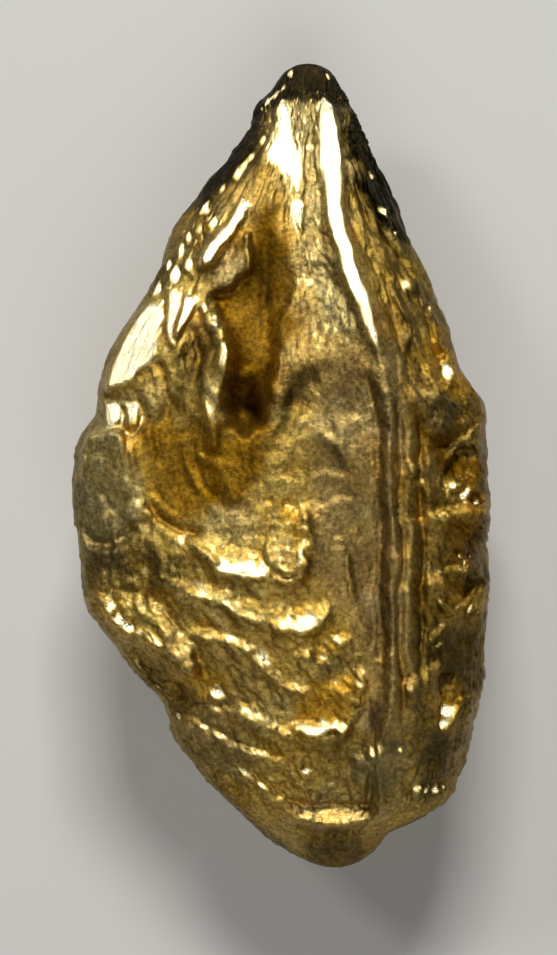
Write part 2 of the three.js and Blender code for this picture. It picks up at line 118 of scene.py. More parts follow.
def smoothCurve(pairs):
    # A smooth function of y; it is smooth in the angle that stands for y, so the ends come out round.
    knots = np.array([angleOf(y) for y, _ in pairs])
    values = np.array([value for _, value in pairs], float)
    before = np.maximum(np.arange(len(knots)) - 1, 0)
    after = np.minimum(np.arange(len(knots)) + 1, len(knots) - 1)
    slopes = (values[after] - values[before]) / (knots[after] - knots[before])

    def at(y):
        angle = angleOf(y)
        i = np.clip(np.searchsorted(knots, angle) - 1, 0, len(knots) - 2)
        h = knots[i + 1] - knots[i]
        t = np.clip((angle - knots[i]) / h, 0, 1)
        return (
            values[i] * (1 + 2 * t) * (1 - t) ** 2 + values[i + 1] * t * t * (3 - 2 * t)
            + slopes[i] * h * t * (1 - t) ** 2 + slopes[i + 1] * h * t * t * (t - 1)
        )

    return at


outline = {name: smoothCurve(nugget[name]) for name in ("leftEdge", "rightEdge", "rimZ", "backX", "backZ")}


def edgesAt(y):
    return outline["leftEdge"](y), outline["rightEdge"](y)


def roomAt(x, y):
    # How far (x, y) is inside the outline.
    left, right = edgesAt(y)
    return np.minimum(x - left, right - x)


def shareCurve(pairs):
    # A rail as a share of the width from left edge to right, so that it meets the others at the ends.
    shares = []
    for y, x in pairs:
        left, right = edgesAt(np.array(y))
        shares.append((y, float((x - left) / (right - left))))
    return smoothCurve(shares)


rails = [dict(share=shareCurve(rail["x"]), z=smoothCurve(rail["z"]), bulge=rail["bulge"])
         for rail in nugget["rails"]]


def bodyHeight(x, y, front):
    # Height of the smooth body over (x, y), on its front or its back.
    rim, left, right = (outline[name](y) for name in ("rimZ", "leftEdge", "rightEdge"))
    reach = np.maximum(np.minimum(nugget["rimReach"], 0.3 * (right - left)), 1e-6)
    drop = nugget["rimDrop"] * reach / nugget["rimReach"]
    if not front:
        rim = rim - drop
        crest = outline["backX"](y)
        edge = np.where(x < crest, left, right)
        out = np.clip(np.abs((x - crest) / np.where(np.abs(edge - crest) < 1e-6, 1, edge - crest)), 0, 1)
        crestPower, rimPower = nugget["backBulge"]
        return rim + (outline["backZ"](y) - rim) * (1 - out ** crestPower) ** rimPower
    share = np.clip((x - left) / np.maximum(right - left, 1e-6), 0, 1)
    fadePower, fadeReach = nugget["bulgeFade"]
    ends = np.sin(angleOf(y)) ** fadePower * smoothstep(halfLength - np.abs(y), 0, fadeReach)
    shares = [np.zeros(y.shape), *[rail["share"](y) for rail in rails], np.ones(y.shape)]
    heights = [rim, *[rail["z"](y) for rail in rails], rim]
    bulges = [*[rail["bulge"] for rail in rails], nugget["rightBulge"]]
    height = np.array(rim, float) + 0 * share
    for a, b, za, zb, bulge in zip(shares, shares[1:], heights, heights[1:], bulges):
        t = np.clip((share - a) / np.maximum(b - a, 1e-6), 0, 1)
        span = za + (zb - za) * t + bulge * ends * 4 * t * (1 - t)
        height = np.where((share >= a) & (share <= b), span, height)
    nearRim = 1 - np.clip(np.minimum(x - left, right - x) / reach, 0, 1)
    return height - drop * (1 - np.sqrt(1 - nearRim ** 2))


def smoothstep(value, start, end):
    t = np.clip((value - start) / (end - start), 0, 1)
    return t * t * (3 - 2 * t)


def smoothPath(points, stepsEach=6):
    # A rounded path through the points, the same at both ends as the points are.
    p = np.array([points[0], *points, points[-1]], float)
    t = np.linspace(0, 1, stepsEach, endpoint=False)[:, None]
    spans = []
    for a, b, c, d in zip(p, p[1:], p[2:], p[3:]):
        spans.append(0.5 * (2 * b + (c - a) * t + (2 * a - 5 * b + 4 * c - d) * t ** 2
                            + (3 * b - a - 3 * c + d) * t ** 3))
    return np.vstack([*spans, p[-1:]])


def nearest(chain, x, y):
    # How far (x, y) is from a chain of points, on its left (1) or right (-1), how far along it, and where.
    best = np.full(x.shape, np.inf)
    side, along, nearX, nearY = (np.ones(x.shape) for _ in range(4))
    for i, (a, b) in enumerate(zip(chain, chain[1:])):
        dx, dy = b - a
        px, py = x - a[0], y - a[1]
        t = np.clip((px * dx + py * dy) / (dx * dx + dy * dy), 0, 1)
        distance = np.hypot(px - t * dx, py - t * dy)
        closer = distance < best
        best = np.where(closer, distance, best)
        side = np.where(closer, np.where(dx * py - dy * px < 0, -1, 1), side)
        along = np.where(closer, (i + t) / (len(chain) - 1), along)
        nearX, nearY = np.where(closer, a[0] + t * dx, nearX), np.where(closer, a[1] + t * dy, nearY)
    return best, side, along, nearX, nearY


def insideBy(points, x, y):
    # How far (x, y) is inside a closed outline, negative outside it.
    chain = smoothPath([*points, points[0]], 4)
    inside = np.zeros(x.shape, bool)
    for a, b in zip(chain, chain[1:]):
        if a[1] != b[1]:
            crosses = (a[1] > y) != (b[1] > y)
            inside ^= crosses & (x < a[0] + (y - a[1]) / (b[1] - a[1]) * (b[0] - a[0]))
    return nearest(chain, x, y)[0] * np.where(inside, 1, -1)


def noiseField(x, y, size, seed, octaves=1):
    # Smooth noise, from -1 to 1 in its first octave, with one bump in each square of this size.
    table = np.random.RandomState(seed).uniform(-1, 1, (64, 64))
    total = np.zeros(x.shape)
    for octave in range(octaves):
        u, v = x / size * 2 ** octave + 7.3 * octave, y / size * 2 ** octave + 3.1 * octave
        i, j = np.floor(u).astype(int), np.floor(v).astype(int)
        s, t = smoothstep(u - i, 0, 1), smoothstep(v - j, 0, 1)
        corner = [[table[(i + a) % 64, (j + b) % 64] for b in (0, 1)] for a in (0, 1)]
        value = (corner[0][0] * (1 - s) + corner[1][0] * s) * (1 - t) + (
            corner[0][1] * (1 - s) + corner[1][1] * s) * t
        total += value / 2 ** octave
    return total


def noiseInside(points, seed, octaves=1):
    # The same in three dimensions, with one bump in each unit cube.
    table = np.random.RandomState(seed).uniform(-1, 1, (32, 32, 32))
    total = np.zeros(points.shape[:-1])
    for octave in range(octaves):
        p = points * 2 ** octave + 5.7 * octave
        cell = np.floor(p).astype(int)
        t = smoothstep(p - cell, 0, 1)
        for corner in np.ndindex(2, 2, 2):
            i, j, k = ((cell[..., axis] + corner[axis]) % 32 for axis in range(3))
            share = np.prod([t[..., axis] if corner[axis] else 1 - t[..., axis] for axis in range(3)], 0)
            total += table[i, j, k] * share / 2 ** octave
    return total


def facetsInside(points, seed, softness):
    # Small tilted facets, one in each cell of a jittered grid of unit cubes, blended where they meet.
    table = np.random.RandomState(seed).uniform(0, 1, (24, 24, 24, 6))
    best, second = (np.full(points.shape[:-1], np.inf) for _ in range(2))
    value, secondValue = np.zeros(points.shape[:-1]), np.zeros(points.shape[:-1])
    cell = np.floor(points).astype(int)
    for offset in np.ndindex(3, 3, 3):
        other = cell + np.array(offset) - 1
        row = table[other[..., 0] % 24, other[..., 1] % 24, other[..., 2] % 24]
        away = points - (other + row[..., :3])
        distance = np.linalg.norm(away, axis=-1)
        tilted = (away * (row[..., 3:] - 0.5) * 2).sum(-1)
        closer = distance < best
        middle = ~closer & (distance < second)
        secondValue = np.where(closer, value, np.where(middle, tilted, secondValue))
        second = np.where(closer, best, np.where(middle, distance, second))
        value = np.where(closer, tilted, value)
        best = np.where(closer, distance, best)
    share = smoothstep(second - best, 0, softness)
    return 0.5 * (value + secondValue) + 0.5 * share * (value - secondValue)


def stepField(phase, softness):
    # Growth steps: a gentle rise down to each whole number of the phase, and a drop just below it.
    part = phase - np.floor(phase)
    return np.maximum((1 - part) ** 1.4, smoothstep(part, 1 - softness, 1))


def grainOf(points):
    # Places in the gold's grain, which runs from tip to butt as the outline does and gathers at both ends.
    x, y, z = (points[..., axis] for axis in range(3))
    left, right = edgesAt(y)
    usual, least = nugget["grainWidths"]
    width = np.maximum(right - left, least)
    across, through = x - (left + right) / 2, z - outline["rimZ"](y)
    return np.stack([usual * across / width, y, usual * through / width], -1)


# Flat faces of the front: outline, a point on the face, its lift over the body, its slope in x and y, how
# soft and how ragged its edge is, and how it shines.
plates = [
    # the lobe on the left shoulder, and the two worn corners below it
    dict(outline=[(-3.75, 4.7), (-3.55, 3.9), (-3.8, 3.2), (-4.3, 2.5), (-4.9, 2.1), (-5.3, 2.2), (-5.25, 3),
                  (-4.7, 3.9), (-4.2, 4.5)],
         at=(-4.4, 3.3), lift=0.12, slope=(0.34, -0.34), edge=0.16, ragged=2, shine=0.9),
    dict(outline=[(-5.35, 1.85), (-4.8, 1.8), (-4.75, 1.3), (-5.2, 1.2)], at=(-5, 1.5), lift=0.15,
         slope=(0.36, -0.36), edge=0.08, shine=1),
    dict(outline=[(-4.6, 1.8), (-4.2, 1.75), (-4.25, 1.2), (-4.55, 1.15)], at=(-4.4, 1.5), lift=0.15,
         slope=(0.34, -0.34), edge=0.08, shine=1),
    # the two small faces beside the arch
    dict(outline=[(-3.4, 5.1), (-3, 5.05), (-2.98, 4.2), (-3.02, 3.5), (-3.32, 3.6), (-3.42, 4.3)],
         at=(-3.2, 4.3), lift=0.15, slope=(0.34, -0.38), edge=0.06, shine=1),
    dict(outline=[(-2.85, 4.9), (-2.4, 4.8), (-2.72, 4.1), (-3.05, 3.8)], at=(-2.75, 4.4), lift=0.22,
         slope=(0, -0.47), edge=0.06, shine=1),
    # the wall left of the deep hollow
    dict(outline=[(-1.05, 7.85), (-0.9, 7.5), (-1.5, 6.5), (-2.05, 5.8), (-2.4, 5.9), (-1.95, 6.8)],
         at=(-1.6, 6.8), lift=0.3, slope=(0.1, -0.46), edge=0.13, ragged=1.6, shine=1),
    # the flat floor of the deep hollow beside the crest
    dict(outline=[(-0.25, 7.9), (-0.8, 7.4), (-0.95, 6.4), (-1.1, 5.5), (-1.95, 5.05), (-1.85, 4.4),
                  (-1.45, 3.6), (-1.5, 2.2), (-1.6, 1.5), (-1, 1), (-0.5, 1.3), (-0.35, 2.4), (-0.15, 3.2),
                  (-0.2, 4.2), (0.2, 4.9), (0.3, 5.8), (0, 6.6), (-0.05, 7.3)],
         at=(-0.7, 4.5), lift=-0.6, slope=(0.28, 0), edge=0.22, ragged=2.5),
    # the facet at the left corner
    dict(outline=[(-5.9, 0.9), (-4.7, 1), (-4.35, -0.2), (-4.1, -1), (-4.3, -2), (-5.6, -2.4), (-6.1, -0.6)],
         at=(-5, -0.6), lift=0.08, slope=(0.42, 0.25), edge=0.15),
    # the broad worn plate low on the left
    dict(outline=[(-4.9, -3.9), (-3.4, -3.6), (-2.6, -4.6), (-2.4, -6.2), (-3.2, -5.6), (-4.3, -5)],
         at=(-3.5, -4.7), lift=0.1, slope=(0.12, -0.25), edge=0.15, ragged=2),
    # the tan lip above the butt's round end
    dict(outline=[(-0.3, -9.8), (0.6, -9.95), (2.3, -9.9), (2.5, -10.4), (1.6, -10.6), (0.6, -10.5)],
         at=(1.1, -10.2), lift=0.1, slope=(0, -0.36), edge=0.12),
    # the tongue over the first step
    dict(outline=[(-0.2, -1.2), (0.45, -1.1), (0.72, -2), (0.6, -3), (-0.2, -3), (-0.6, -2.2)],
         at=(0.15, -2.3), lift=0.22, slope=(0.05, -0.2), edge=0.12, ragged=2, shine=0.1),
]

# Burnished flat tops of crests: [y, x] down the middle, [y, width], how far it stands over the body.
bands = [
    dict(x=[(11, 1.2), (10.6, 1.35), (9, 1.42), (8, 1.48), (7, 1.62), (6.2, 1.8), (5.3, 2.1), (4.4, 2.4),
            (3.2, 2.75)],
         width=[(10.9, 0), (10.6, 0.5), (9.4, 0.75), (8, 0.66), (6, 0.58), (4.4, 0.5), (3.7, 0.3), (3.2, 0)],
         lift=0.12),
    dict(x=[(11, 0.1), (10.2, 0.1), (9.2, 0.05), (8.7, 0.25), (8.2, 0.4), (7.9, 0.42)],
         width=[(10.9, 0), (10.5, 0.3), (9.9, 0.4), (9.2, 0.95), (8.7, 0.6), (8.4, 0.3), (7.9, 0)],
         lift=0.1),
    dict(x=[(7.75, 0.5), (6.7, 0.58)], width=[(7.75, 0), (7.6, 0.45), (7.2, 0.25), (6.7, 0)], lift=0.1),
]

# Worn strips that catch the light: half the width, how far each stands out, how it shines, its path.
strips = [
    # the lips low on the left, from the top one down
    (0.28, 0.32, 1, [(-1.75, -2.95), (-1.2, -3), (-0.4, -3.02)]),
    (0.24, 0.3, 1, [(0.1, -4.6), (0.5, -4.64), (0.9, -4.56)]),
    (0.26, 0.38, 1, [(0.4, -7.68), (1, -7.72), (1.65, -7.6)]),
    # the lips of the scoops down the right flank
    (0.15, 0.2, 0.9, [(4.95, -0.8), (5.4, -0.95), (5.9, -1.3)]),
    (0.12, 0.2, 0.7, [(5, -2.5), (5.5, -2.6), (5.9, -2.5)]),
    (0.15, 0.2, 0.8, [(4.8, -3.95), (5.3, -4.15), (5.75, -3.95)]),
]

# Lips: a path, how far it stands over the body, how its edge shines. The face behind a lip lies to the left
# of its path and tilts down from it, the drop to the right.
ledges = [
    # the arch over the inner lobe
    dict(path=[(-1.9, 0.2), (-2, 1), (-1.9, 2), (-1.6, 2.8), (-1.6, 3.5), (-2, 4.35), (-2.5, 4.65)],
         rise=0.25, face=1.1, shine=1),
    # the rim below the left shoulder
    dict(path=[(-3.7, -1.6), (-4, -1), (-4.2, -0.2), (-4.35, 0.5), (-4.5, 1)], rise=0.2, face=0.6,
         shine=0.6),
    # growth steps low on the left, from the top one down
    dict(path=[(-3.1, -2), (-2.3, -2.45), (-1.8, -2.95), (-1.2, -3.15), (-0.4, -3.25), (0.3, -3.35),
               (0.68, -2.9), (0.82, -2.2), (0.7, -1.6), (0.5, -1)], rise=0.36, shine=1),
    dict(path=[(-3.5, -3.2), (-2.4, -3.8), (-1.8, -4), (-1.2, -4.35), (-0.6, -4.5), (0, -4.78), (0.7, -4.8),
               (1.2, -4.4), (1.4, -3.7)], rise=0.32, shine=1),
    dict(path=[(-2.7, -4.6), (-2.1, -5.05), (-1.4, -5.15), (-0.8, -5.65), (-0.3, -6.15), (0.5, -6.55),
               (1.1, -6.5)], rise=0.26, shine=0.7),
    dict(path=[(0.4, -5.3), (1.1, -5.7), (1.6, -5.4), (1.9, -4.8)], rise=0.26, shine=0.8),
    dict(path=[(-2.4, -6.9), (-1.6, -7.2), (-0.9, -7.35), (-0.3, -7.75), (0.3, -7.95), (1.2, -7.95),
               (1.8, -7.75), (2.15, -7.2), (2.3, -6.4), (2.1, -5.4)], rise=0.4, shine=1),
    dict(path=[(-2.9, -7.3), (-2.1, -7.9), (-1.4, -8.25), (-0.5, -8.5), (0.3, -8.8)], rise=0.26, shine=0.7),
    dict(path=[(-1.7, -8.7), (-1.2, -9), (-0.5, -9.5), (0, -9.95), (0.7, -10.3), (1.5, -10.55), (2.4, -10.4)],
         rise=0.25, shine=0.3),
    dict(path=[(-1.9, -9.3), (-1.5, -9.8), (-1, -10.4)], rise=0.15, shine=0.5),
    # the edges of the worn plate beside them
    dict(path=[(-5.5, -3.7), (-5, -4.3), (-4.6, -4.75), (-4.1, -5)], rise=0.2, shine=1),
    dict(path=[(-4.1, -5.15), (-3.4, -5.55), (-2.9, -5.95), (-2.5, -6.45), (-2.2, -6.85)], rise=0.28,
         shine=0.7),
    # growth steps down the right flank
    dict(path=[(4.3, 3), (4.6, 2.6), (5.1, 2.4), (5.5, 2.7)], rise=0.2, shine=0.6),
    dict(path=[(3.7, 2.2), (4, 1.4), (4.4, 1.2), (5, 1.1), (5.6, 1.4)], rise=0.3, shine=0.6),
    dict(path=[(3.6, 0.1), (3.9, -0.5), (4.4, -1), (4.9, -1), (5.4, -1.25), (6, -1.45)],
         rise=0.35, shine=0.8),
    dict(path=[(4.3, -1.3), (4.5, -1.9), (4.8, -2.6), (5.3, -2.85), (5.95, -2.75)], rise=0.32, shine=0.8),
    dict(path=[(4.1, -3.2), (4.5, -4), (5, -4.35), (5.5, -4.4), (5.95, -4.1)], rise=0.32, shine=0.8),
    dict(path=[(4.3, -4.9), (4.8, -5.3), (5.4, -5.4)], rise=0.2, shine=0.5),
    dict(path=[(3.4, -6.1), (3.8, -6.9), (4.25, -7.6), (4.8, -7.65), (5.2, -7), (5.3, -6.6)], rise=0.35,
         shine=0.8),
    dict(path=[(3.7, -9.5), (4.4, -9.65), (5, -9.5)], rise=0.2, shine=0.6),
    # the lip that ends the crest above the butt
    dict(path=[(2, -8.8), (2.5, -8.4), (3, -8.3), (3.5, -8.35), (3.9, -8.8)], rise=0.25, shine=0.8),
]

# Small ridges (+) and grooves (-): height, half the width, path.
marks = [
    # beside the tip
    (0.07, 0.16, [(-0.6, 10.75), (-0.2, 11), (0.15, 11.4)]),
    # along the crest: ridges and the grooves between them
    (-0.13, 0.14, [(2.35, 3.2), (2.62, 2), (2.76, 0.2), (2.74, -1.4), (2.84, -3), (2.82, -5), (2.95, -8)]),
    (0.12, 0.17, [(2.75, 3.4), (3, 2), (3.12, 0.6), (3.08, -0.8), (3.16, -2.4), (3.12, -4.4), (3.2, -8)]),
    (-0.14, 0.12, [(3.25, 2), (3.4, 0.6), (3.34, -1), (3.44, -2.6), (3.36, -4.4), (3.44, -6), (3.42, -8)]),
    (0.13, 0.18, [(3.5, 2.6), (3.66, 1), (3.62, -0.6), (3.74, -2.4), (3.66, -4.4), (3.7, -6), (3.64, -8)]),
    (-0.18, 0.15, [(3.85, 2), (3.98, 0.8), (3.94, -0.6), (4.06, -2.6), (3.98, -4.4), (3.98, -6.4)]),
    # folds and dents of the smooth face
    (0.05, 0.22, [(0.9, 1.1), (1.6, 0.5), (2, 0)]),
    (0.05, 0.16, [(0.8, -0.45), (1.3, -0.3), (1.9, -0.45)]),
    (-0.06, 0.15, [(1, -1.2), (1.5, -0.85), (2.1, -0.95)]),
    (-0.06, 0.17, [(1.3, -1.5), (1.6, -1.75), (1.5, -2.1)]),
    (0.06, 0.13, [(1.3, -2.4), (1.6, -2.5), (1.9, -2.4)]),
    (-0.14, 0.3, [(1.1, 2.8), (0.6, 2.1), (0.2, 1.4), (-0.2, 0.6)]),
    (-0.06, 0.12, [(1.7, 2.2), (1.4, 1.4), (1.5, 0.8)]),
    (0.08, 0.15, [(2.2, 1.4), (1.8, 0.9), (1.7, 0.2)]),
    (-0.08, 0.12, [(2.1, -1.6), (1.9, -2.8), (2, -4)]),
    # the upper right flank
    (0.2, 0.2, [(2.2, 7.2), (2.8, 6.4), (3.4, 5.4), (3.9, 4.8)]),
    (0.18, 0.18, [(2.5, 5.6), (3.2, 4.9), (3.5, 4)]),
    (-0.2, 0.16, [(2.3, 8.4), (2.8, 7.2), (3.4, 6), (3.9, 5.2)]),
    (-0.15, 0.15, [(1.9, 9.2), (2.2, 8), (2.5, 6.8)]),
    (0.16, 0.15, [(2.2, 9.6), (2.6, 8.4), (3, 7.4), (3.6, 6)]),
    (-0.18, 0.16, [(2.4, 6.2), (2.9, 5.2), (3.2, 4.2), (3.5, 3)]),
    (0.14, 0.13, [(2.9, 7.4), (3.6, 5.8), (4.3, 4.4), (4.9, 3.1)]),
    (-0.14, 0.12, [(3, 6.4), (3.6, 5), (4.3, 3.7), (4.8, 2.5)]),
    (0.14, 0.13, [(3.3, 4.8), (3.8, 3.8), (4.3, 2.6), (4.6, 1.6)]),
    (0.12, 0.12, [(5.05, 2.8), (5.25, 2.1), (5.4, 1.6)]),
    # the deep hollow's slot, its left rim, and a fold at its foot
    (-0.12, 0.2, [(-0.3, 7), (-0.48, 6), (-0.55, 5.2), (-0.45, 4.4), (-0.5, 3.4)]),
    (0.3, 0.16, [(-1.02, 6.8), (-0.95, 6.1), (-1.02, 5.4)]),
    (0.2, 0.2, [(-0.3, 3.1), (-0.7, 2.7), (-1.2, 2.4)]),
    # the inner lobe under the arch
    (-0.14, 0.14, [(-2.6, 4.1), (-2.4, 3.5), (-2.35, 2.9)]),
    (0.12, 0.2, [(-3.1, 3.6), (-2.75, 2.6), (-2.85, 1.4)]),
    (-0.12, 0.18, [(-3.7, 3.2), (-3.35, 2.4), (-3.4, 1)]),
    (0.1, 0.18, [(-4.1, 2.3), (-3.8, 1.6), (-3.9, 0.6)]),
    (0.2, 0.16, [(-2.3, 2.1), (-2.1, 1.1), (-2, 0.4)]),
    (-0.1, 0.14, [(-2.5, 2.1), (-2.3, 1.4), (-2.2, 0.6)]),
    (-0.1, 0.1, [(-4, 1.5), (-3.6, 0.8), (-3.5, 0)]),
    # the bowl: thin folds across it, and its lower edge
    (0.1, 0.12, [(-2.9, 0.9), (-2.7, 0), (-2.3, -0.8)]),
    (-0.08, 0.1, [(-2.6, 0.7), (-2.4, -0.2), (-1.9, -1)]),
    (0.14, 0.18, [(-1.9, 0.3), (-1.6, -0.5), (-1.3, -1.2)]),
    (0.12, 0.16, [(-1.2, 0.9), (-0.9, 0.1), (-0.9, -0.6)]),
    (-0.08, 0.08, [(-3.8, -0.3), (-3.5, -0.9), (-3.1, -1.4)]),
    (-0.25, 0.16, [(-3.85, -0.9), (-3.6, -1.5), (-3.1, -1.8), (-2.2, -2)]),
    (0.1, 0.2, [(-0.7, -1.2), (-0.75, -1.5), (-0.95, -1.9)]),
    # the left facet
    (0.12, 0.14, [(-5.3, -0.9), (-5.2, -1.4), (-5.1, -2)]),
    (0.12, 0.14, [(-4.9, -1.3), (-4.85, -2), (-4.9, -2.8)]),
    (0.12, 0.13, [(-4.4, -1.1), (-4.3, -1.5), (-4.2, -2)]),
    # the worn plate's ridges, which run down to the right
    (0.1, 0.14, [(-4.4, -3.9), (-3.7, -4.6), (-3.1, -5.2)]),
    (-0.1, 0.12, [(-4, -3.7), (-3.2, -4.5), (-2.8, -5)]),
    (0.1, 0.13, [(-3.6, -3.6), (-3, -4.2), (-2.6, -4.6)]),
    (-0.35, 0.35, [(-4.5, -5.4), (-3.5, -6), (-2.6, -6.8)]),
    # striations that fan down the butt
    (-0.1, 0.13, [(2.9, -8.7), (3.05, -9.3), (3.1, -10)]),
    (-0.12, 0.13, [(2.5, -8.8), (2.55, -9.5), (2.45, -10.4)]),
    (0.08, 0.12, [(2.7, -8.7), (2.8, -9.4), (2.75, -10.2)]),
    (-0.1, 0.13, [(3.35, -8.7), (3.6, -9.3), (3.75, -9.9)]),
    (0.08, 0.12, [(2.2, -8.9), (2.2, -9.5), (2.1, -10.1)]),
    (0.32, 0.6, [(0.9, -11), (1.5, -11.1), (2.2, -10.95)]),
    (-0.12, 0.2, [(0.2, -10.6), (1.2, -10.8), (2.4, -10.65)]),
    (0.2, 0.16, [(-1.7, -9.4), (-1.3, -9.9), (-0.9, -10.5)]),
]

# Small worn spots that catch the light: place, how wide.
glints = [
    (-2.25, 4.6, 0.24), (-1.95, 4.3, 0.26), (-1.75, 3.92, 0.24), (-1.62, 3.55, 0.18), (4.8, 2.7, 0.36),
    (-5, -4.12, 0.22), (-4.8, -4.48, 0.24), (-4.5, -4.7, 0.22), (-4.2, -4.82, 0.18), (-1.1, -9.02, 0.16),
    (-0.6, -9.38, 0.16), (-0.1, -9.75, 0.16),
    (0.25, 11.65, 0.16), (1.38, 11.6, 0.13), (-0.45, 10.85, 0.17), (-0.2, 11.02, 0.16),
    (0.05, 11.22, 0.16), (0.7, 10.2, 0.12), (0.75, 9.35, 0.13), (-0.55, 9.6, 0.15),
    (-1.3, 8.55, 0.16), (-1.75, 8.15, 0.16), (-2.25, 7.55, 0.24), (-2.75, 6.7, 0.26), (-2.7, 5.9, 0.24),
    (-2.95, 6.3, 0.24), (-3.1, 5.6, 0.26), (-3.65, 5.2, 0.26), (-3.35, 5.9, 0.2), (-2.4, 6.9, 0.16),
    (-0.9, 9.1, 0.12), (-1.1, 8.85, 0.12),
    (-2, 7.1, 0.15), (2.65, 8.5, 0.15), (3, 7.45, 0.15), (3.3, 6.8, 0.14), (3.6, 5.25, 0.18),
    (4.3, 4.6, 0.18), (3.9, -9.5, 0.12), (4.2, -9.55, 0.12), (4.5, -9.5, 0.14), (4.75, -9.45, 0.12),
    (0.7, -8.9, 0.2), (1.4, -9.3, 0.16), (1.9, -9.5, 0.15), (1.2, -9.75, 0.18), (-3.4, -3.15, 0.16),
    (-3.05, -3.3, 0.16), (-1.9, -6.6, 0.34), (-3.05, -7.35, 0.28), (4.5, -5.2, 0.16), (5.3, -7.6, 0.16),
    (4.75, -7.15, 0.34), (4.65, -7.55, 0.2),
    (4.95, -0.6, 0.2), (5.3, -0.8, 0.2), (5.6, -1.05, 0.2), (5.85, -1.3, 0.16), (5.1, -2.62, 0.17),
    (5.4, -2.68, 0.15), (4.75, -3.9, 0.17), (5.05, -4.1, 0.2), (5.4, -4.2, 0.2), (5.75, -4.05, 0.18),
    (4.2, -0.75, 0.15), (4.54, -5.16, 0.15), (5.45, -7.6, 0.18), (2.6, -8.35, 0.2), (3.45, -8.28, 0.2),
    (-2.35, 0.3, 0.18), (3.25, -0.8, 0.14), (0.8, 5.3, 0.15), (1.1, 5.4, 0.12), (1.35, 5, 0.12),
    (1.05, 6.3, 0.12), (-5.8, 0.3, 0.18), (5.75, 1.2, 0.16), (-2.4, -4.75, 0.16), (-1.3, -5.1, 0.15),
    (-0.75, -5.55, 0.14), (1.7, -5.05, 0.2), (-0.1, -4.55, 0.15),
    (1.55, -2.5, 0.13), (-0.4, -1.1, 0.18), (0.1, -1.15, 0.15), (0.45, -1.35, 0.17),
    (0.65, -1.8, 0.16), (0.72, -2.3, 0.15), (0.68, -2.8, 0.15), (-2.9, -2.2, 0.18),
    (-2.3, -3.7, 0.18), (-4.4, -4.75, 0.2), (-1, -10.3, 0.15), (-1.9, -7.1, 0.16), (2.2, -6.3, 0.14),
]

# Hollows: depth, how wide the walls are, outline.
hollows = [
    # the pit at the foot of the deep hollow
    (0.5, 0.7, [(-1.8, 2.4), (-0.9, 2.6), (-0.3, 1.7), (-0.6, 0.9), (-1.7, 1)]),
    # the smooth bowl left of the first step
    (0.3, 1.2, [(-4.1, 1.3), (-3.3, 2.4), (-2.4, 2), (-1.7, 0.6), (-1.6, -0.8), (-2.4, -1.7),
     (-3.1, -1.85), (-3.8, -1.2)]),
    # under the arch
    (0.2, 0.5, [(-2.7, 4), (-2, 3.9), (-1.9, 3), (-2.3, 2.2), (-2.9, 2.4), (-3, 3.2)]),
    # below the worn plate
    (0.35, 0.3, [(-4.3, -5.5), (-3.3, -6), (-2.5, -6.9), (-3.2, -7), (-4, -6)]),
    # scoops down the right flank
    (0.15, 0.5, [(3.9, 4.5), (4.5, 4.3), (5.2, 3.5), (5.2, 3), (4.4, 3)]),
    (0.45, 0.5, [(4.2, 0.9), (5.8, 0.7), (6, -0.6), (5, -0.6), (4.3, -0.6)]),
    (0.3, 0.35, [(4.7, -1.5), (5.9, -1.8), (5.95, -2.3), (5.1, -2.4)]),
    (0.35, 0.4, [(4.4, -3), (5.9, -3), (5.9, -3.7), (5, -3.9)]),
    (0.3, 0.4, [(3.9, -5.9), (5.1, -5.8), (5.1, -6.6), (4.5, -7.2)]),
]

backLedges = [
    dict(path=[(-3.6, 5.5), (-2.4, 3.8), (-2.6, 1.6), (-3.6, 0)], rise=0.35, shine=0.6),
    dict(path=[(4.4, 5), (3.2, 6.4), (2.4, 8.2)], rise=0.3, shine=0.6),
    dict(path=[(-4.6, -2.4), (-3, -4.6), (-2.2, -7), (-0.6, -8.8)], rise=0.4, shine=0.6),
    dict(path=[(5.2, -1), (4.2, -3.4), (4.4, -6), (3.4, -8.4)], rise=0.4, shine=0.6),
    dict(path=[(4.9, 3.4), (3.8, 1.8), (3.6, 0)], rise=0.3, shine=0.6),
]
backHollows = [
    (0.5, 0.7, [(-4.4, 3.6), (-3.2, 3.2), (-3.2, 0.8), (-4.4, -0.4), (-5.2, 1.4)]),
    (0.4, 0.6, [(0.4, 8.6), (1.6, 8.2), (1.4, 6.6), (0.2, 6.4), (-0.4, 7.6)]),
    (0.35, 0.6, [(3.4, -7), (2.2, -8.6), (0.8, -8.4), (1.6, -7.2)]),
]

# Where the skin is smooth: how much of the fine relief is gone there, outline.
smoothPatches = [
    (0.65, [(1, 4.5), (2.3, 3.2), (2.7, 0), (2.9, -4), (2.9, -7.3), (2.3, -7.8), (2.4, -6), (1.6, -4.2),
     (1, -2.5), (0.8, -0.5), (0.9, 1.5)]),
    (0.8, [(-0.3, 8), (-1, 6.5), (-2, 5), (-1.7, 2), (-1.6, 0.8), (-0.6, 1), (0, 3), (0.4, 6)]),
    (0.5, [(-1.7, 1), (-4, 1), (-3.8, -1.3), (-2.4, -1.8), (-1.8, -0.4)]),
    (0.7, [(-0.2, -9.8), (2.2, -9.9), (2.4, -10.6), (0.6, -10.6)]),
]

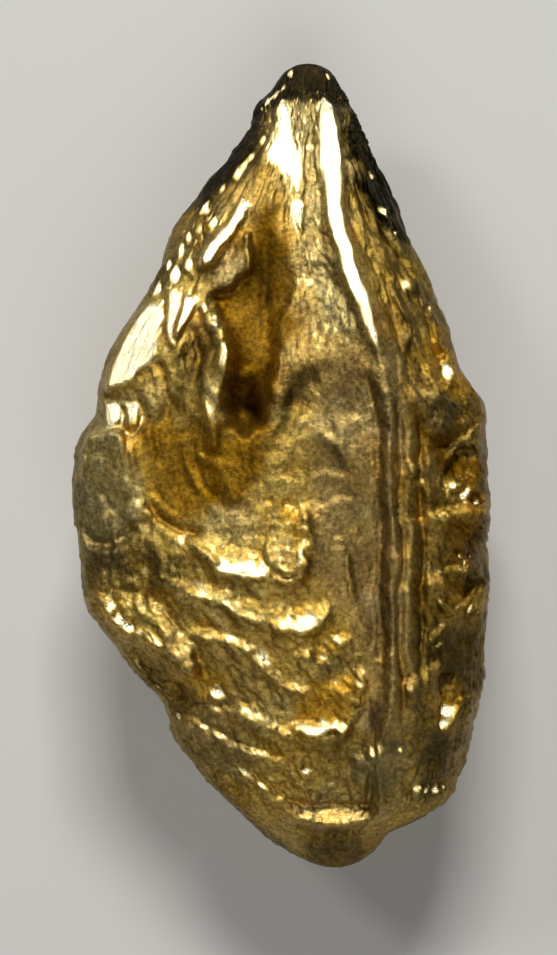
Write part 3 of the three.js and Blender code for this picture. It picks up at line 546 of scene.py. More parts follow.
# Outlines of the patches where the gold is painted with deep amber shade in hollows and a warm glow of
# bounced light, is redder on the smooth face or paler with silver, is flecked with worn grains painted as
# glints, is painted near black as shade where it turns from the lights, or carries rust and painted shade.
tintPatches = {
    # painted shade: deep amber in the hollow beside the crest, the bowl, the right flank's scoops and a dent
    # on the left flank
    "amberAndShade": [
        [(-0.3, 7.9), (-0.9, 7), (-1, 5.6), (-2, 5.2), (-1.5, 3.5), (-1.7, 1.6), (-2.6, 1.2), (-3.9, 1.2),
         (-3.8, -1.1), (-3, -1.7), (-2.3, -1.4), (-1.2, -1), (-0.5, 0), (-0.3, 1.2), (0.1, 2.6), (0.3, 3.6),
         (0.4, 5), (0.3, 5.9), (0, 6.8)],
        [(3.6, 2.4), (4.6, 0.4), (5.8, 0.2), (5.8, -1.2), (5, -0.8), (3.7, 0.8)],
        [(4.5, -1.3), (5.8, -1.7), (5.7, -2.6), (4.9, -2.6)],
        [(4.5, -3.2), (5.8, -3.4), (5.6, -4), (4.8, -4)],
        [(-2.6, 7.4), (-2.2, 7.4), (-2.5, 6.6), (-2.8, 6.8)],
    ],
    # painted glow of light bounced in the low steps' hollows, the scoops and beside the tongue
    "honeyAndGlow": [
        [(0.5, -6.7), (2, -6.2), (2.1, -7.2), (1.2, -7.6), (0.2, -7.6)],
        [(0.7, -4.9), (1.5, -4.8), (1.9, -5.4), (1, -5.6)],
        [(3.9, 3.9), (4.7, 3.7), (5.3, 2.2), (4.7, 2)],
        [(-4.5, 1), (-4.1, 1), (-3.6, -1.2), (-4, -1.3)],
        [(-0.5, -1.1), (0.5, -1.1), (0.8, -2.6), (0.5, -3.3), (0.2, -1.8)],
        [(-3.4, -6.3), (-2.4, -6), (-1.6, -6.4), (-2.2, -6.9)],
        [(4.6, -4), (5.8, -3.8), (5.8, -4.4), (4.8, -4.5)],
        [(4.9, -0.7), (6, -0.8), (6, -1.5), (5, -1.2)],
        [(4.2, -6.8), (5.2, -6.5), (5, -7.6), (4.3, -7.6)],
    ],
    "rose": [
        [(1, 4.5), (2.4, 3), (3.6, 2.6), (3.4, 0), (3.6, -4), (3.4, -8), (2.2, -7.8), (2.3, -6), (1.6, -4.2),
         (1, -2.5), (0.8, -0.5), (0.9, 1.5)],
        [(-0.1, 5.6), (0.9, 6.2), (1, 5.2), (0.3, 4.2), (0.2, 3.2), (1, 3), (1, 4.6)],
        [(-2.3, 6.3), (-1.3, 6.2), (-1.4, 5.2), (-2.3, 5.2)],
        [(-0.6, -9.9), (2.2, -9.9), (2.4, -10.5), (0.4, -10.6)],
    ],
    "pale": [
        [(-0.3, 10.8), (1.6, 10.8), (1.7, 8), (2, 6), (2.5, 4.2), (1.6, 3.8), (0.9, 5), (0.4, 7),
         (-0.4, 8.6)],
        [(-5.5, 1.4), (-4.4, 1.2), (-4.2, -2), (-4.8, -3), (-6, -2.6), (-6.1, 0.4)],
        [(-2.4, 2.2), (-1.9, 2.2), (-1.8, 0.4), (-2.2, 0.4)],
        [(2.8, 3.4), (3.1, 2), (3.25, 0), (3.25, -1.6), (3, -1.6), (2.9, 0)],
        [(2, -8.2), (3.6, -8.2), (3.2, -10), (2.4, -10)],
    ],
    # worn grains, raised in the fine relief and painted as glints where they face the top light
    "fleckAndGlint": [
        [(-0.6, 10.8), (1.8, 10.8), (2, 7), (2.4, 4), (1.4, 3.2), (0.5, 4), (0.3, 6.5), (-0.2, 8)],
        [(-1.4, 7.2), (-2.4, 5.4), (-3.6, 4.8), (-4.2, 5), (-2.7, 7.4)],
        [(-3.6, -2.9), (-2.4, -2.6), (-1, -1.9), (0, -1), (0.8, -1), (0.9, -3), (1.8, -5), (2.4, -7),
         (2.2, -8.2), (1, -9), (2.4, -10.6), (-0.6, -10.8), (-3.2, -8), (-4.8, -5.4), (-5.8, -3.4)],
        [(3.6, -8.8), (5.4, -8.6), (4.8, -10.2), (2, -10.6), (2.2, -8.6)],
        [(4.4, -0.4), (6.1, -0.8), (6.1, -4.6), (4.4, -4.8)],
    ],
    # painted shade: near black over the tip and upper flanks, which turn away from the lights, and in the
    # slot and the pit
    "paintedShade": [
        [(-2, 13.5), (3, 13.5), (2.6, 10.6), (1.6, 10.6), (-0.1, 10.6), (-1.2, 9.8)],
        [(1.65, 10.8), (2.7, 10.5), (3.6, 7.8), (3.6, 6.2), (2.9, 6.8), (2, 8.3)],
        [(-1.6, 10.8), (-0.5, 10.6), (-0.75, 9.3), (-1.5, 8.2), (-2.2, 7.3), (-2.6, 7.6)],
        [(-0.42, 6.1), (-0.36, 5.2), (-0.38, 4.5), (-0.5, 4.5), (-0.52, 5.3), (-0.5, 6)],
        [(-1.4, 2), (-0.8, 1.9), (-0.6, 1.4), (-0.9, 1.3), (-1.4, 1.7)],
    ],
    # rust at random, and painted shade on the upper flanks, down the right flank, in the crest's grooves, in
    # dents and at the butt
    "stainAndShade": [
        [(-1.8, 10.8), (-0.3, 10.6), (-0.45, 9.3), (-1, 8.5), (-1.5, 7.8), (-2.7, 6), (-3.5, 5.2),
         (-4.4, 5.2), (-3, 8.4)],
        [(1.7, 10.7), (2.7, 10.5), (4, 7.2), (3.4, 6), (2.5, 6.2), (2, 7.6)],
        [(3.2, 7), (4, 6), (5, 4.5), (6.3, 2), (6.4, -4), (6.2, -7.4), (5.6, -9.6), (4.4, -10), (3.7, -8),
         (3.7, -4), (3.6, 1), (3.2, 4), (2.4, 7)],
        [(2.25, 3.2), (2.52, 2), (2.64, 0), (2.64, -2), (2.7, -4), (2.78, -8), (3, -8), (2.94, -4),
         (2.9, -2), (2.88, 0), (2.72, 2), (2.45, 3.2)],
        [(-2.9, 3.9), (-2, 4), (-1.9, 2.8), (-2.4, 2), (-3.1, 2.4)],
        [(0.1, 2.6), (1.2, 3), (1, 2.3), (0.4, 1.3), (-0.3, 0.3), (-0.5, 0.6), (-0.1, 1.6)],
        [(-4.6, -5.4), (-3.3, -5.9), (-2.4, -7), (-3.4, -7.4)],
        [(0.5, -10.9), (2.4, -10.8), (2.5, -12.2), (0.8, -12.2)],
        [(-6.2, -2.4), (-4, -2.2), (-2.2, -2.8), (-3.4, -3.6), (-6.2, -3.8)],
    ],
}

# How strong each tint is in the patches scattered over the front and over the back.
scatteredTints = {"stainAndShade": (0.45, 0.8), "amberAndShade": (0.25, 0.5), "honeyAndGlow": (0.3, 0.3), "rose": (0.65, 0.6),
                  "pale": (0.55, 0.6), "fleckAndGlint": (0, 0.4)}

# How the tints' patches are edged and scattered, in millimetres.
tintEdges = {
    "reach": 0.8,           # how far outside its own box a patch is worked out
    "wander": 0.25,         # how far its edge strays
    "wanderPitch": 0.8,
    "soft": (-0.3, 0.35),   # where a patch starts and where it is whole, from its outline inwards
    "scatterSize": 1.4,
    "scatterSpan": (0, 0.7),            # the noise at which a scattered patch starts and is whole
    "roundRim": (0.1, 1.4),             # the front's patches fade between these distances past the rim
    "rimShade": 0.75,        # how strong the painted shade is at the rim
    "rimShadeFade": (0.1, 0.6),
    "fleckGlintFacing": (0.7, 0.9),          # how squarely the skin faces halfway between the camera and the top light, for flecks to be painted as glints
}

# Fine relief over everything, in millimetres or as a share of a slope. Sizes are across, along and through
# the grain.
relief = {
    "wander": 0.07,         # how far edges stray from their outlines
    "wanderPitch": 0.9,
    "lumps": 0.07,
    "lumpPitch": 1.6,
    "facets": 0.1,
    "facetSize": (0.9, 1.6, 0.9),
    "smallFacets": 0.045,
    "smallFacetSize": (0.28, 0.5, 0.28),
    "grit": 0.03,
    "gritSize": (0.3, 0.45, 0.3),
    "streaks": 0.035,
    "streakSize": (0.22, 1.4, 0.22),
    "grains": 0.05,
    "grainSize": 0.2,
    "steps": 0.05,
    "stepPitch": 0.5,
    "crown": 0.2,           # slope at the edges of the crests' worn tops
    "bandEdge": (-0.18, 0.14),          # where those tops' edges start and end, across their outline
    "lipShine": 0.6,
    "lipSlope": 0.6,        # of a lip's worn edge
    "lipWidth": 0.22,
    "lipChips": (0.4, 0.35, 0.2),       # how deep, how far apart and how far back a lip is chipped
    "faceSlope": 0.22,      # of the face behind it
    "footReach": 0.25,      # how gently the drop below a lip runs out
    "hollowRagged": 2.5,    # how much more than other edges a hollow's edge strays
    "plateReach": 0.6,      # how far round a plate, a ledge and a hollow the skin is carved
    "ledgeReach": 1.6,
    "hollowReach": 0.3,
    "ledgeEnds": 0.15,      # the share of a ledge's path, and of a mark's, over which it fades at each end
    "markEnds": 0.2,
    "glintSlope": (-0.1, -0.5),
    "wornSide": (-0.05, 0.43, 0.9),     # halfway between the camera and the top light: burnished places are painted with highlight colour where they face it
    "wornFacing": (0.78, 0.93),         # how squarely they face it, for the painted highlight to show at all and in full
    "wornEdge": 0.45,       # how ragged the painted highlights' edges are
    "wornEdgeSize": (0.14, 0.5, 0.14),
}


def smoothMax(a, b, softness):
    # The greater of two heights, with the corner between them rounded.
    share = np.clip(0.5 + (a - b) / softness / 2, 0, 1)
    return b + (a - b) * share + softness * share * (1 - share)


def near(points, reach, x, y):
    # Which of the places (x, y) are within reach of the points' own box.
    p = np.array(points, float)
    (x0, y0), (x1, y1) = p.min(0) - reach, p.max(0) + reach
    return np.nonzero((x > x0) & (x < x1) & (y > y0) & (y < y1))


def fadedEnds(along, share):
    return smoothstep(along, 0, share) * (1 - smoothstep(along, 1 - share, 1))


def drawTo(skin, i, face, share, shine):
    # Moves the skin's points i towards a face and burnishes them, each by its share.
    skin.height[i] += (face - skin.height[i]) * share
    skin.burnish[i] = np.maximum(skin.burnish[i], shine * share)


def carvePlates(skin):
    for plate in plates:
        i = near(plate["outline"], relief["plateReach"], skin.x, skin.y)
        x, y, ragged = skin.x[i], skin.y[i], plate.get("ragged", 1)
        inside = insideBy(plate["outline"], x + ragged * (skin.wx[i] - x), y + ragged * (skin.wy[i] - y))
        (atX, atY), (slopeX, slopeY) = plate["at"], plate["slope"]
        level = bodyHeight(np.array([atX]), np.array([atY]), True)[0] + plate["lift"]
        face = level + slopeX * (x - atX) + slopeY * (y - atY)
        share = smoothstep(inside, -plate["edge"], plate["edge"])
        drawTo(skin, i, face, share, plate.get("shine", 0))


def carveBands(skin):
    y = skin.y
    for band in bands:
        middle, width = smoothCurve(band["x"])(y), smoothCurve(band["width"])(y)
        across = skin.wx - middle
        level = bodyHeight(middle, y, True) + band["lift"]
        level -= relief["crown"] * across ** 2 / np.maximum(width, 0.15)
        between = (y < band["x"][0][0]) & (y > band["x"][-1][0]) & (width > 0.02)
        share = smoothstep(width / 2 - np.abs(across), *relief["bandEdge"]) * between
        drawTo(skin, ..., level, share, 1)  # every point


def besidePath(skin, path, reach):
    # The skin's points near a path, and for each what nearest gives.
    i = near(path, reach, skin.x, skin.y)
    return i, *nearest(smoothPath(path), skin.wx[i], skin.wy[i])


def carveLedges(skin, front):
    out = 1 if front else -1
    lipWidth = relief["lipWidth"]
    chipDepth, chipPitch, chipReach = relief["lipChips"]
    for ledge in ledges if front else backLedges:
        i, distance, side, along, nearX, nearY = besidePath(skin, ledge["path"], relief["ledgeReach"])
        ends = fadedEnds(along, relief["ledgeEnds"])
        chips = chipDepth * noiseField(nearX, nearY, chipPitch, 71, 2) * np.exp(-distance / chipReach)
        rise = ledge["rise"] * ends * (1 + chips)
        lip = out * (bodyHeight(nearX, nearY, front) if front else skin.body[i]) + rise
        behind = lip - (
            relief["lipSlope"] * np.minimum(distance, lipWidth)
            + ledge.get("face", relief["faceSlope"]) * np.maximum(distance - lipWidth, 0))
        under = out * skin.height[i]
        under += np.maximum(lip - under, 0) * np.exp(-distance / relief["footReach"])
        raised = out * smoothMax(out * skin.height[i], np.where(side > 0, behind, under), 0.05)
        skin.height[i] += (raised - skin.height[i]) * smoothstep(ends, 0, 0.3)
        worn = smoothstep(lipWidth + 0.12 - distance, 0, 0.15) * (side > 0) * ends
        worn *= smoothstep(noiseField(nearX, nearY, 0.3, 72, 2), -0.6, 0.3)
        skin.burnish[i] = np.maximum(skin.burnish[i], relief["lipShine"] * ledge["shine"] * worn)


def carveHollows(skin, front):
    out, ragged = 1 if front else -1, relief["hollowRagged"]
    for depth, wall, points in hollows if front else backHollows:
        i = near(points, relief["hollowReach"], skin.x, skin.y)
        x, y = (ragged * w[i] - (ragged - 1) * p[i] for w, p in ((skin.wx, skin.x), (skin.wy, skin.y)))
        skin.height[i] -= out * depth * smoothstep(insideBy(points, x, y), 0, wall)


def carveMarks(skin):
    for rise, halfWidth, path in marks:
        i, distance, _, along, _, _ = besidePath(skin, path, 2 * halfWidth + 0.2)
        ends = fadedEnds(along, relief["markEnds"])
        skin.height[i] += rise * ends * np.exp(-((distance / halfWidth) ** 2) * 1.4)


def carveStrips(skin):
    slopeY = relief["glintSlope"][1]
    for halfWidth, lift, shine, path in strips:
        i, distance, _, _, nearX, nearY = besidePath(skin, path, halfWidth + 0.2)
        edge = halfWidth * (1 + 0.5 * noiseField(skin.x[i], skin.y[i], 0.25, 73, 2))
        face = bodyHeight(nearX, nearY, True) + lift + slopeY * (skin.wy[i] - nearY)
        drawTo(skin, i, face, 1 - smoothstep(distance, 0.3 * edge, edge), shine)


def carveGlints(skin):
    slopeX, slopeY = relief["glintSlope"]
    for glintX, glintY, radius in glints:
        i = near([(glintX, glintY)], radius + 0.1, skin.x, skin.y)
        dx, dy = skin.x[i] - glintX, skin.y[i] - glintY
        away = np.hypot(dx, dy * 0.8) + 0.6 * (skin.wx[i] - skin.x[i])
        face = skin.height[i][np.argmin(away)] + slopeX * dx + slopeY * dy
        drawTo(skin, i, face, 1 - smoothstep(away, 0.3 * radius, radius), 1)


def carve(x, y, front):
    # Heights of the carved surface over (x, y), and how burnished it is.
    body = bodyHeight(x, y, front)
    # edges wander a little, as grown and worn ones do
    wx, wy = (place + relief["wander"] * noiseField(x, y, relief["wanderPitch"], seed, 3)
              for place, seed in ((x, 11), (y, 12)))
    skin = SimpleNamespace(x=x, y=y, wx=wx, wy=wy, body=body, height=body.copy(), burnish=np.zeros(x.shape))
    if front:
        carvePlates(skin)
        carveBands(skin)
    carveLedges(skin, front)
    carveHollows(skin, front)
    if front:
        carveMarks(skin)
    out = 1 if front else -1
    skin.height += out * relief["lumps"] * noiseField(x, y, relief["lumpPitch"], 21, 2)
    if front:
        carveStrips(skin)
        carveGlints(skin)
    share = smoothstep(roomAt(x, y), 0, nugget["rimMargin"])
    return body + (skin.height - body) * share, skin.burnish


def roughOf(x, y):
    # How much of the fine relief each point of the front keeps.
    rough = np.ones(x.shape)
    for amount, points in smoothPatches:
        rough *= 1 - amount * smoothstep(insideBy(points, x, y), -0.2, 0.4)
    return rough


def tintOf(x, y, name):
    # How far each point is inside a tint's patches, from 0 to 1, with wandering edges.
    total = np.zeros(x.shape)
    for points in tintPatches[name]:
        i = near(points, tintEdges["reach"], x, y)
        wx, wy = (place + tintEdges["wander"] * noiseField(x[i], y[i], tintEdges["wanderPitch"], seed, 3)
                  for place, seed in ((x[i], 61), (y[i], 62)))
        total[i] = np.maximum(total[i], smoothstep(insideBy(points, wx, wy), *tintEdges["soft"]))
    return total


def fineRelief(points, burnish):
    # How far each point of the skin moves out along its normal.
    x, y = points[..., 0], points[..., 1]
    front = np.zeros(x.shape)
    front[:, :nugget["frontColumns"]] = 1
    left, right = edgesAt(y)
    # calmer where it is worn or smooth, at the rim, towards the two ends and over the butt
    rough = (1 - front + front * roughOf(x, y)) * (1 - 0.9 * burnish)
    rough *= 0.8 + 0.2 * smoothstep(roomAt(x, y), 0, 0.4)
    rough *= 0.15 + 0.85 * smoothstep(right - left, 0.8, 3.5)
    rough *= 1 - 0.4 * smoothstep(-y, 9.8, 11)
    grain = grainOf(points)
    wander = np.stack([noiseInside(grain / 0.8, seed, 2) for seed in (81, 82, 83)], -1)
    grain = grain + 0.15 * wander
    # the upper flank right of the main crest is less faceted and more streaked
    flank = front * smoothstep(x - smoothCurve(bands[0]["x"])(y), 0.25, 0.5) * smoothstep(y, 2, 4)
    fine = relief["facets"] * (1 - 0.5 * flank) * facetsInside(grain / relief["facetSize"], 31, 0.2)
    fine += (relief["smallFacets"] * (1 - 0.5 * flank)
             * facetsInside(grain / relief["smallFacetSize"], 32, 0.3))
    fine += relief["grit"] * noiseInside(grain / relief["gritSize"], 34, 3)
    fine += relief["streaks"] * (1 + 2.5 * flank) * noiseInside(grain / relief["streakSize"], 41, 2)
    fleckAndGlint = front * tintOf(x, y, "fleckAndGlint")
    fine += relief["grains"] * fleckAndGlint * facetsInside(grain / relief["grainSize"], 33, 0.3)
    # growth steps run across the lower left flank and most of the right one, and fainter over the back
    steps = (y + 0.35 * x + 0.1 * (x - 0.8) ** 2) / relief["stepPitch"]
    steps = steps + 1.2 * noiseInside(points / 1.1, 51, 2)
    onLeft = smoothstep(-y + 0.2 * x, 2, 3.5) * smoothstep(2.4 - x, 0, 1)
    onRight = smoothstep(x - 3.4, 0, 0.6) * smoothstep(4 - y, 0, 2)
    stepped = np.maximum(np.maximum(onLeft, onRight), 0.5 * (1 - front))
    fine += relief["steps"] * stepField(steps, 0.25) * stepped
    return rough * fine


def spaced(t):
    # Even spacing from 1 to -1, mixed with spacing that is crowded at both ends.
    even = nugget["evenShare"]
    return (1 - even) * np.cos(np.pi * t) + even * (1 - 2 * t)


def nuggetPoints():
    # A ring of points for each row, front from right to left and then back from left to right.
    rows, frontColumns, backColumns = nugget["rows"], nugget["frontColumns"], nugget["backColumns"]
    y = halfLength * spaced(np.arange(1, rows + 1) / (rows + 1))[:, None]
    left, right = edgesAt(y)
    across = {True: spaced(np.arange(frontColumns) / frontColumns),
              False: -spaced(np.arange(backColumns) / backColumns)}
    sides = []
    for front, turn in across.items():
        x = left + (right - left) * (1 + turn[None, :]) / 2
        yy = np.broadcast_to(y, x.shape).copy()
        height, burnish = carve(x, yy, front)
        sides.append(np.stack([x, yy, height, burnish], -1))
    sides = np.concatenate(sides, 1)
    return sides[..., :3], sides[..., 3]


def blurred(points, passes):
    # Each point's values drawn towards its neighbours', round the ring and from ring to ring.
    for _ in range(passes):
        points = (np.roll(points, 1, 1) + 2 * points + np.roll(points, -1, 1)) / 4
        up = np.vstack([points[:1], points[:-1]])
        down = np.vstack([points[1:], points[-1:]])
        points = (up + 2 * points + down) / 4
    return points


def gridNormals(points):
    alongRow = np.roll(points, -1, 1) - np.roll(points, 1, 1)
    alongColumn = np.gradient(points, axis=0)
    normal = np.cross(alongRow, alongColumn)
    return normal / np.maximum(np.linalg.norm(normal, axis=-1, keepdims=True), 1e-12)


def wornBright(points, burnish, facing):
    # The burnish that is left where the skin faces halfway between the camera and the top light, there
    # painted as highlight, with ragged edges that follow the grain.
    ragged = relief["wornEdge"] * noiseInside(grainOf(points) / relief["wornEdgeSize"], 91, 3)
    for name, loss in (("amberAndShade", 1), ("paintedShade", 1), ("stainAndShade", 0.6)):
        ragged *= 1 - loss * tintOf(points[..., 0], points[..., 1], name)
    return smoothstep(blurred(burnish, 6) + ragged, 0.1, 0.95) * smoothstep(facing, *relief["wornFacing"])


def skinFields(points, burnish, facing, standing):
    # What the material reads at each point: relief, burnish, grain, calm and the share of each tint.
    x, y = points[..., 0], points[..., 1]
    grain = grainOf(points)
    front = np.arange(points.shape[1])[None, :] < nugget["frontColumns"]
    fields = {"relief": standing, "burnish": burnish, "grainX": grain[..., 0], "grainZ": grain[..., 2],
              "calm": 1 - front * (1 - roughOf(x, y))}
    room = roomAt(x, y)
    share = np.where(front, 1, 1 - smoothstep(room, *tintEdges["roundRim"]))
    for seed, name in enumerate(tintPatches):
        patches = noiseInside(points / tintEdges["scatterSize"], 95 + seed, 3)
        patches = smoothstep(patches, *tintEdges["scatterSpan"])
        onFront, onBack = scatteredTints.get(name, (0, 0))
        scattered = patches * (onBack + (onFront - onBack) * share)
        fields[name] = np.maximum(tintOf(x, y, name) * share, scattered)
    # painted shade darkens the rim, and flecks are painted as glints only where the skin faces the top light
    paintedRimShade = tintEdges["rimShade"] * (1 - smoothstep(room, *tintEdges["rimShadeFade"]))
    fields["stainAndShade"] = np.maximum(fields["stainAndShade"], paintedRimShade)
    fields["fleckAndGlint"] *= smoothstep(facing, *tintEdges["fleckGlintFacing"])
    return fields


def closedFaces(rows, columns):
    # Quads between the rings, and a fan of triangles at the tip and at the butt.
    r, c = np.meshgrid(np.arange(rows - 1), np.arange(columns), indexing="ij")
    nextColumn = (c + 1) % columns
    quads = np.stack([1 + r * columns + c, 1 + r * columns + nextColumn,
                      1 + (r + 1) * columns + nextColumn, 1 + (r + 1) * columns + c], -1).reshape(-1, 4)
    ring = np.arange(columns)
    tipFan = np.stack([np.zeros_like(ring), 1 + (ring + 1) % columns, 1 + ring], -1)
    lastRing = 1 + (rows - 1) * columns
    butt = np.full_like(ring, 1 + rows * columns)
    buttFan = np.stack([butt, lastRing + ring, lastRing + (ring + 1) % columns], -1)
    return [*tipFan.tolist(), *quads[:, ::-1].tolist(), *buttFan.tolist()]


def buildNugget():
    points, burnish = nuggetPoints()
    print("nugget: carved", points.shape[0], "rings of", points.shape[1], "points")
    normals = gridNormals(blurred(points, 3))
    points = points + normals * fineRelief(points, burnish)[..., None]
    points[..., 2] = np.maximum(points[..., 2], 0)
    standing = ((points - blurred(points, 24)) * normals).sum(-1)
    print("nugget: relief from", round(standing.min(), 3), "to", round(standing.max(), 3), "mm")
    # how squarely each point faces halfway between the camera and the top light, which the painted highlights
    # follow
    facing = gridNormals(blurred(points, 1)) @ np.array(relief["wornSide"])
    fields = skinFields(points, wornBright(points, burnish, facing), facing, standing)
    tip, butt = ([(x, y, outline["rimZ"](np.array([y]))[0])]
                 for x, y in ((nugget["tipX"], halfLength), (nugget["buttX"], -halfLength)))
    vertices = np.vstack([tip, points.reshape(-1, 3), butt])
    scale = (high.y - low.y) / nugget["length"]
    middle = np.array([(low.x + high.x) / 2, (low.y + high.y) / 2, low.z])
    mesh = bpy.data.meshes.new("goldNugget")
    mesh.from_pydata((vertices * scale + middle).tolist(), [], closedFaces(*points.shape[:2]))
    for name, values in fields.items():
        attribute = mesh.attributes.new(name, "FLOAT", "POINT")
        attribute.data.foreach_set("value", np.concatenate([[0], values.ravel(), [0]]))
    mesh.polygons.foreach_set("use_smooth", [True] * len(mesh.polygons))
    mesh.update()
    obj = bpy.data.objects.new("goldNugget", mesh)
    bpy.context.collection.objects.link(obj)
    print("nugget: closed mesh of", len(mesh.polygons), "faces")
    return obj


def linear(hexColour):
    channels = [int(hexColour[i:i + 2], 16) / 255 for i in (1, 3, 5)]
    return tuple(c / 12.92 if c <= 0.04045 else ((c + 0.055) / 1.055) ** 2.4 for c in channels) + (1,)


def addNode(tree, kind, inputs=None, output=0, **settings):
    # A node with its settings and its inputs, each a value or another node's output. Gives one output of it.
    node = tree.nodes.new(kind)
    for name, value in settings.items():
        setattr(node, name, value)
    for name, value in (inputs or {}).items():
        if isinstance(value, bpy.types.NodeSocket):
            tree.links.new(value, node.inputs[name])
        else:
            node.inputs[name].default_value = value
    return node.outputs[output] if node.outputs else node


def fromTo(fromSpan, toSpan=(0, 1)):
    # The inputs that map one span of values to another.
    return dict(zip(("From Min", "From Max", "To Min", "To Max"), (*fromSpan, *toSpan)))


gold = {
    "lip": "#FAF0C4",       # painted highlight: burnished gold where it faces the top light
    "gleam": "#E6CA74",     # painted highlight's fringe, round the brightest places
    "honeyAndGlow": "#C89A30",     # painted warm glow of light bounced in hollows, and clean rich gold in random patches
    "face": "#C2A85A",      # frosted, on open faces
    "hollow": "#BA9238",    # painted shade: frosted, in the hollows of the fine relief
    "amberAndShade": "#7D5807",     # painted shade of deep hollows, and rich gold in random patches
    "rose": "#A88650",      # gold reddened by a little copper
    "pale": "#A49A6C",      # gold paled by silver
    "paintedShade": "#1E1A0D",      # painted shade: near black, where the surface turns away from the lights
    "stainAndShade": "#50401C",     # gold under a film of iron rust, and painted shade on the flanks, in grooves and at the rim
    "reliefSpan": (-0.12, 0.1),         # mm below and above the skin round it, from the painted shade of a hollow to the face
    # how much of each tint shows in its patches, at least and at most, from the lowest to the top one
    "tints": {"rose": (0.4, 0.85), "pale": (0.4, 0.85), "stainAndShade": (0.5, 0.95), "amberAndShade": (0.8, 1),
              "honeyAndGlow": (0.5, 0.95), "paintedShade": (0.95, 1)},
    # where the worn places turn to each painted highlight colour
    "worn": {"gleam": (0.05, 0.4), "lip": (0.25, 0.7)},
    # sizes in mm: frosting and grain are finer on real gold, and are drawn as coarse as they need to show
    "patchSize": 1.5,
    "patchSpan": (0.35, 0.6),
    "frostSize": 0.065,
    "frostSpan": (0.36, 0.64),
    "frost": (0.58, 1.42),  # how dark and how light its specks are
    "grainSize": 0.07,
    "grainHeight": 0.02,
    "calmGrain": 0.3,       # how much of the grain's height is left where the skin is calm
    "streakWidth": 0.08,
    "streakLength": 0.5,
    "streakHeight": 0.6,    # against the grain's
    "fleckStretch": (0.7, 2.2, 0.7),    # a fleck's pattern against a streak's
    "fleckSpan": (0.53, 0.66),
    "fleckMost": 0.42,      # how worn a fleck is, and so how far it takes the painted highlight colours
    "roughSpan": (0.3, 0.7),
    "frosted": (0.35, 0.48),            # roughness of open faces
    "sheltered": 0.62,      # roughness in the hollows
    "burnished": 0.22,      # roughness of the worn places
}


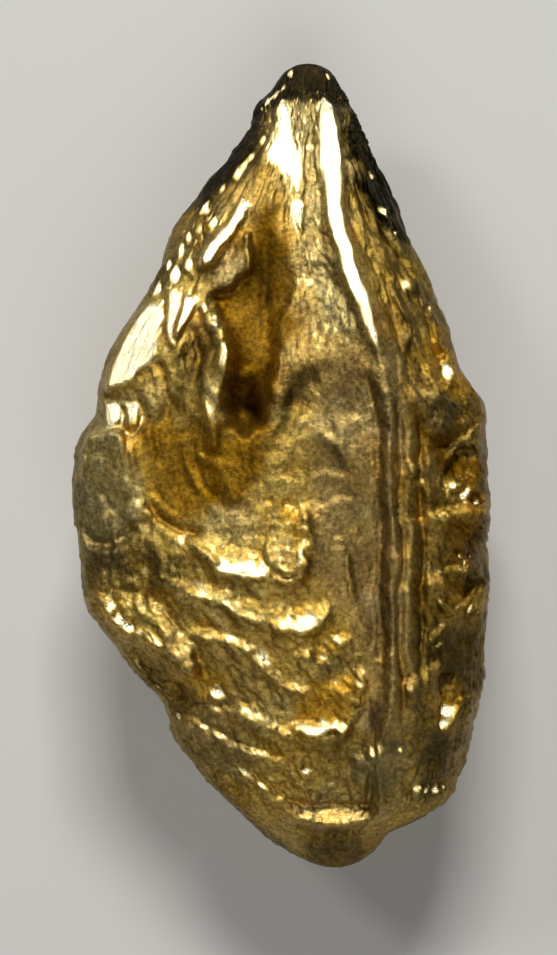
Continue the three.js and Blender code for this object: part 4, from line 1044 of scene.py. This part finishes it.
def nativeGold():
    # Native gold with a little silver, worn by water. Worn places are burnished, mirror the lights and are
    # painted with highlight colour where they face the top light; open faces are frosted and speckled;
    # sheltered hollows are soft and painted with deep amber shade.
    material = bpy.data.materials.new("nativeGold")
    material.use_nodes = True
    tree = material.node_tree
    tree.nodes.clear()
    place = addNode(tree, "ShaderNodeTexCoord", output="Object")
    field = {name: addNode(tree, "ShaderNodeAttribute", output="Fac", attribute_name=name)
             for name in ("relief", "burnish", "grainX", "grainZ", "calm", *tintPatches)}
    # streaks and flecks lie along the grain
    lengthwise = addNode(tree, "ShaderNodeSeparateXYZ", {"Vector": place}, "Y")
    alongGrain = {axis: addNode(tree, "ShaderNodeMath", {0: source, 1: 1 / (size * 2)}, operation="MULTIPLY")
                  for axis, source, size in (("X", field["grainX"], gold["streakWidth"]),
                                             ("Y", lengthwise, gold["streakLength"] * millimetre),
                                             ("Z", field["grainZ"], gold["streakWidth"]))}
    streakPlace = addNode(tree, "ShaderNodeCombineXYZ", alongGrain)
    fleckPlace = addNode(tree, "ShaderNodeVectorMath", {0: streakPlace, 1: gold["fleckStretch"]},
                         operation="MULTIPLY")
    noise = {name: addNode(tree, "ShaderNodeTexNoise", {
                 "Vector": where, "Scale": scale, "Detail": detail, "Roughness": roughness})
             for name, where, scale, detail, roughness in (
                 ("patch", place, 1 / (gold["patchSize"] * millimetre), 6, 0.65),
                 ("frost", place, 1 / (gold["frostSize"] * 2 * millimetre), 3, 0.7),
                 ("grain", place, 1 / (gold["grainSize"] * 2 * millimetre), 5, 0.7),
                 ("streak", streakPlace, 1, 4, 0.6),
                 ("fleckAndGlint", fleckPlace, 1, 3, 0.6))}
    # painted shade: hollows of the fine relief take the darker hollow colour, raised places the face colour
    depth = addNode(tree, "ShaderNodeMapRange", {"Value": field["relief"], **fromTo(gold["reliefSpan"])})
    colour = addNode(tree, "ShaderNodeValToRGB", {"Fac": depth})
    for element, name in zip(colour.node.color_ramp.elements, ("hollow", "face")):
        element.color = linear(gold[name])
    # the tints, among them the painted shade of hollows, tip and flanks and the painted glow of bounced light
    for name, shares in gold["tints"].items():
        spread = addNode(tree, "ShaderNodeMapRange", {
            "Value": noise["patch"], **fromTo(gold["patchSpan"], shares)})
        share = addNode(tree, "ShaderNodeMath", {0: spread, 1: field[name]}, operation="MULTIPLY")
        colour = addNode(tree, "ShaderNodeMix", {"Factor": share, 6: colour, 7: linear(gold[name])}, 2,
                         data_type="RGBA")
    frost = addNode(tree, "ShaderNodeMapRange", {
        "Value": noise["frost"], **fromTo(gold["frostSpan"], gold["frost"])})
    colour = addNode(tree, "ShaderNodeMix", {"Factor": 1.0, 6: colour, 7: frost}, 2, data_type="RGBA",
                     blend_type="MULTIPLY")
    flecked = addNode(tree, "ShaderNodeMapRange", {
        "Value": noise["fleckAndGlint"], **fromTo(gold["fleckSpan"], (0, gold["fleckMost"]))})
    fleckGlints = addNode(tree, "ShaderNodeMath", {0: flecked, 1: field["fleckAndGlint"]}, operation="MULTIPLY")
    worn = addNode(tree, "ShaderNodeMath", {0: field["burnish"], 1: fleckGlints}, operation="MAXIMUM")
    # painted highlight: worn places and flecks that face the top light turn to the gleam and lip colours
    for name, span in gold["worn"].items():
        share = addNode(tree, "ShaderNodeMapRange", {"Value": worn, **fromTo(span)})
        colour = addNode(tree, "ShaderNodeMix", {"Factor": share, 6: colour, 7: linear(gold[name])}, 2,
                         data_type="RGBA")
    height = addNode(tree, "ShaderNodeMath", {0: noise["streak"], 1: gold["streakHeight"], 2: noise["grain"]},
                     operation="MULTIPLY_ADD")
    strength = addNode(tree, "ShaderNodeMapRange", {
        "Value": field["calm"], **fromTo((0, 1), (gold["calmGrain"], 1))})
    bump = addNode(tree, "ShaderNodeBump", {
        "Height": height, "Strength": strength, "Distance": gold["grainHeight"] * 2 * millimetre})
    roughness = addNode(tree, "ShaderNodeMapRange", {
        "Value": noise["patch"], **fromTo(gold["roughSpan"], gold["frosted"])})
    for value, name in ((field["amberAndShade"], "sheltered"), (worn, "burnished")):
        roughness = addNode(tree, "ShaderNodeMapRange", {
            "Value": value, **fromTo((0, 1), (roughness, gold[name]))})
    shader = addNode(tree, "ShaderNodeBsdfPrincipled", {
        "Base Color": colour, "Metallic": 1.0, "Roughness": roughness, "Normal": bump})
    addNode(tree, "ShaderNodeOutputMaterial", {"Surface": shader})
    print("material: native gold,", len(tree.nodes), "nodes")
    return material


studio = {
    "floorColour": "#D2D0CA",
    "floorRoughness": 0.9,
    "worldStrength": 0.04,
    "lights": [
        # place (m), size (m), power (W)
        dict(name="topStrip", place=(0, 0.20, 0.17), size=(0.10, 0.04), power=0.6),
        dict(name="leftSoft", place=(-0.16, 0.13, 0.16), size=(0.05, 0.05), power=0.12),
        dict(name="overhead", place=(0.02, -0.17, 0.25), size=(0.2, 0.2), power=0.25),
    ],
    "lens": 120.0,
    "frameHeight": 28.47,   # mm seen from top to bottom
    "frameCentre": (-0.12, -0.36),
    "focusHeight": 3.5,     # mm, where the frame's height is measured
}


def floorCard():
    # Matte card: pale and even.
    material = bpy.data.materials.new("floorCard")
    material.use_nodes = True
    shader = material.node_tree.nodes["Principled BSDF"]
    shader.inputs["Base Color"].default_value = linear(studio["floorColour"])
    shader.inputs["Roughness"].default_value = studio["floorRoughness"]
    return material


def buildStudio():
    bpy.ops.mesh.primitive_plane_add(size=2, location=(0, 0, 0))
    floor = bpy.context.object
    floor.name = "floor"
    floor.data.materials.append(floorCard())
    world = bpy.data.worlds.new("studioWorld")
    bpy.context.scene.world = world
    world.use_nodes = True
    background = world.node_tree.nodes["Background"]
    background.inputs["Color"].default_value = (1, 1, 1, 1)
    background.inputs["Strength"].default_value = studio["worldStrength"]
    for light in studio["lights"]:
        data = bpy.data.lights.new(light["name"], "AREA")
        data.shape = "RECTANGLE"
        data.size, data.size_y = light["size"]
        data.energy = light["power"]
        obj = bpy.data.objects.new(light["name"], data)
        bpy.context.collection.objects.link(obj)
        obj.location = light["place"]
        obj.rotation_euler = (-obj.location).to_track_quat("-Z", "Y").to_euler()
        obj.visible_camera = False
    camera = bpy.data.cameras.new("camera")
    camera.lens = studio["lens"]
    camera.clip_start = millimetre
    cameraObject = bpy.data.objects.new("camera", camera)
    bpy.context.collection.objects.link(cameraObject)
    distance = studio["frameHeight"] * camera.lens / camera.sensor_width
    x, y = studio["frameCentre"]
    cameraObject.location = (x * millimetre, y * millimetre, (distance + studio["focusHeight"]) * millimetre)
    bpy.context.scene.camera = cameraObject
    bpy.context.scene.view_settings.view_transform = "Standard"
    print("studio: floor,", len(studio["lights"]), "lights and a camera")


piece = buildNugget()
piece.data.materials.append(nativeGold())
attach(piece, "root")
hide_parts("gold_nugget")
buildStudio()
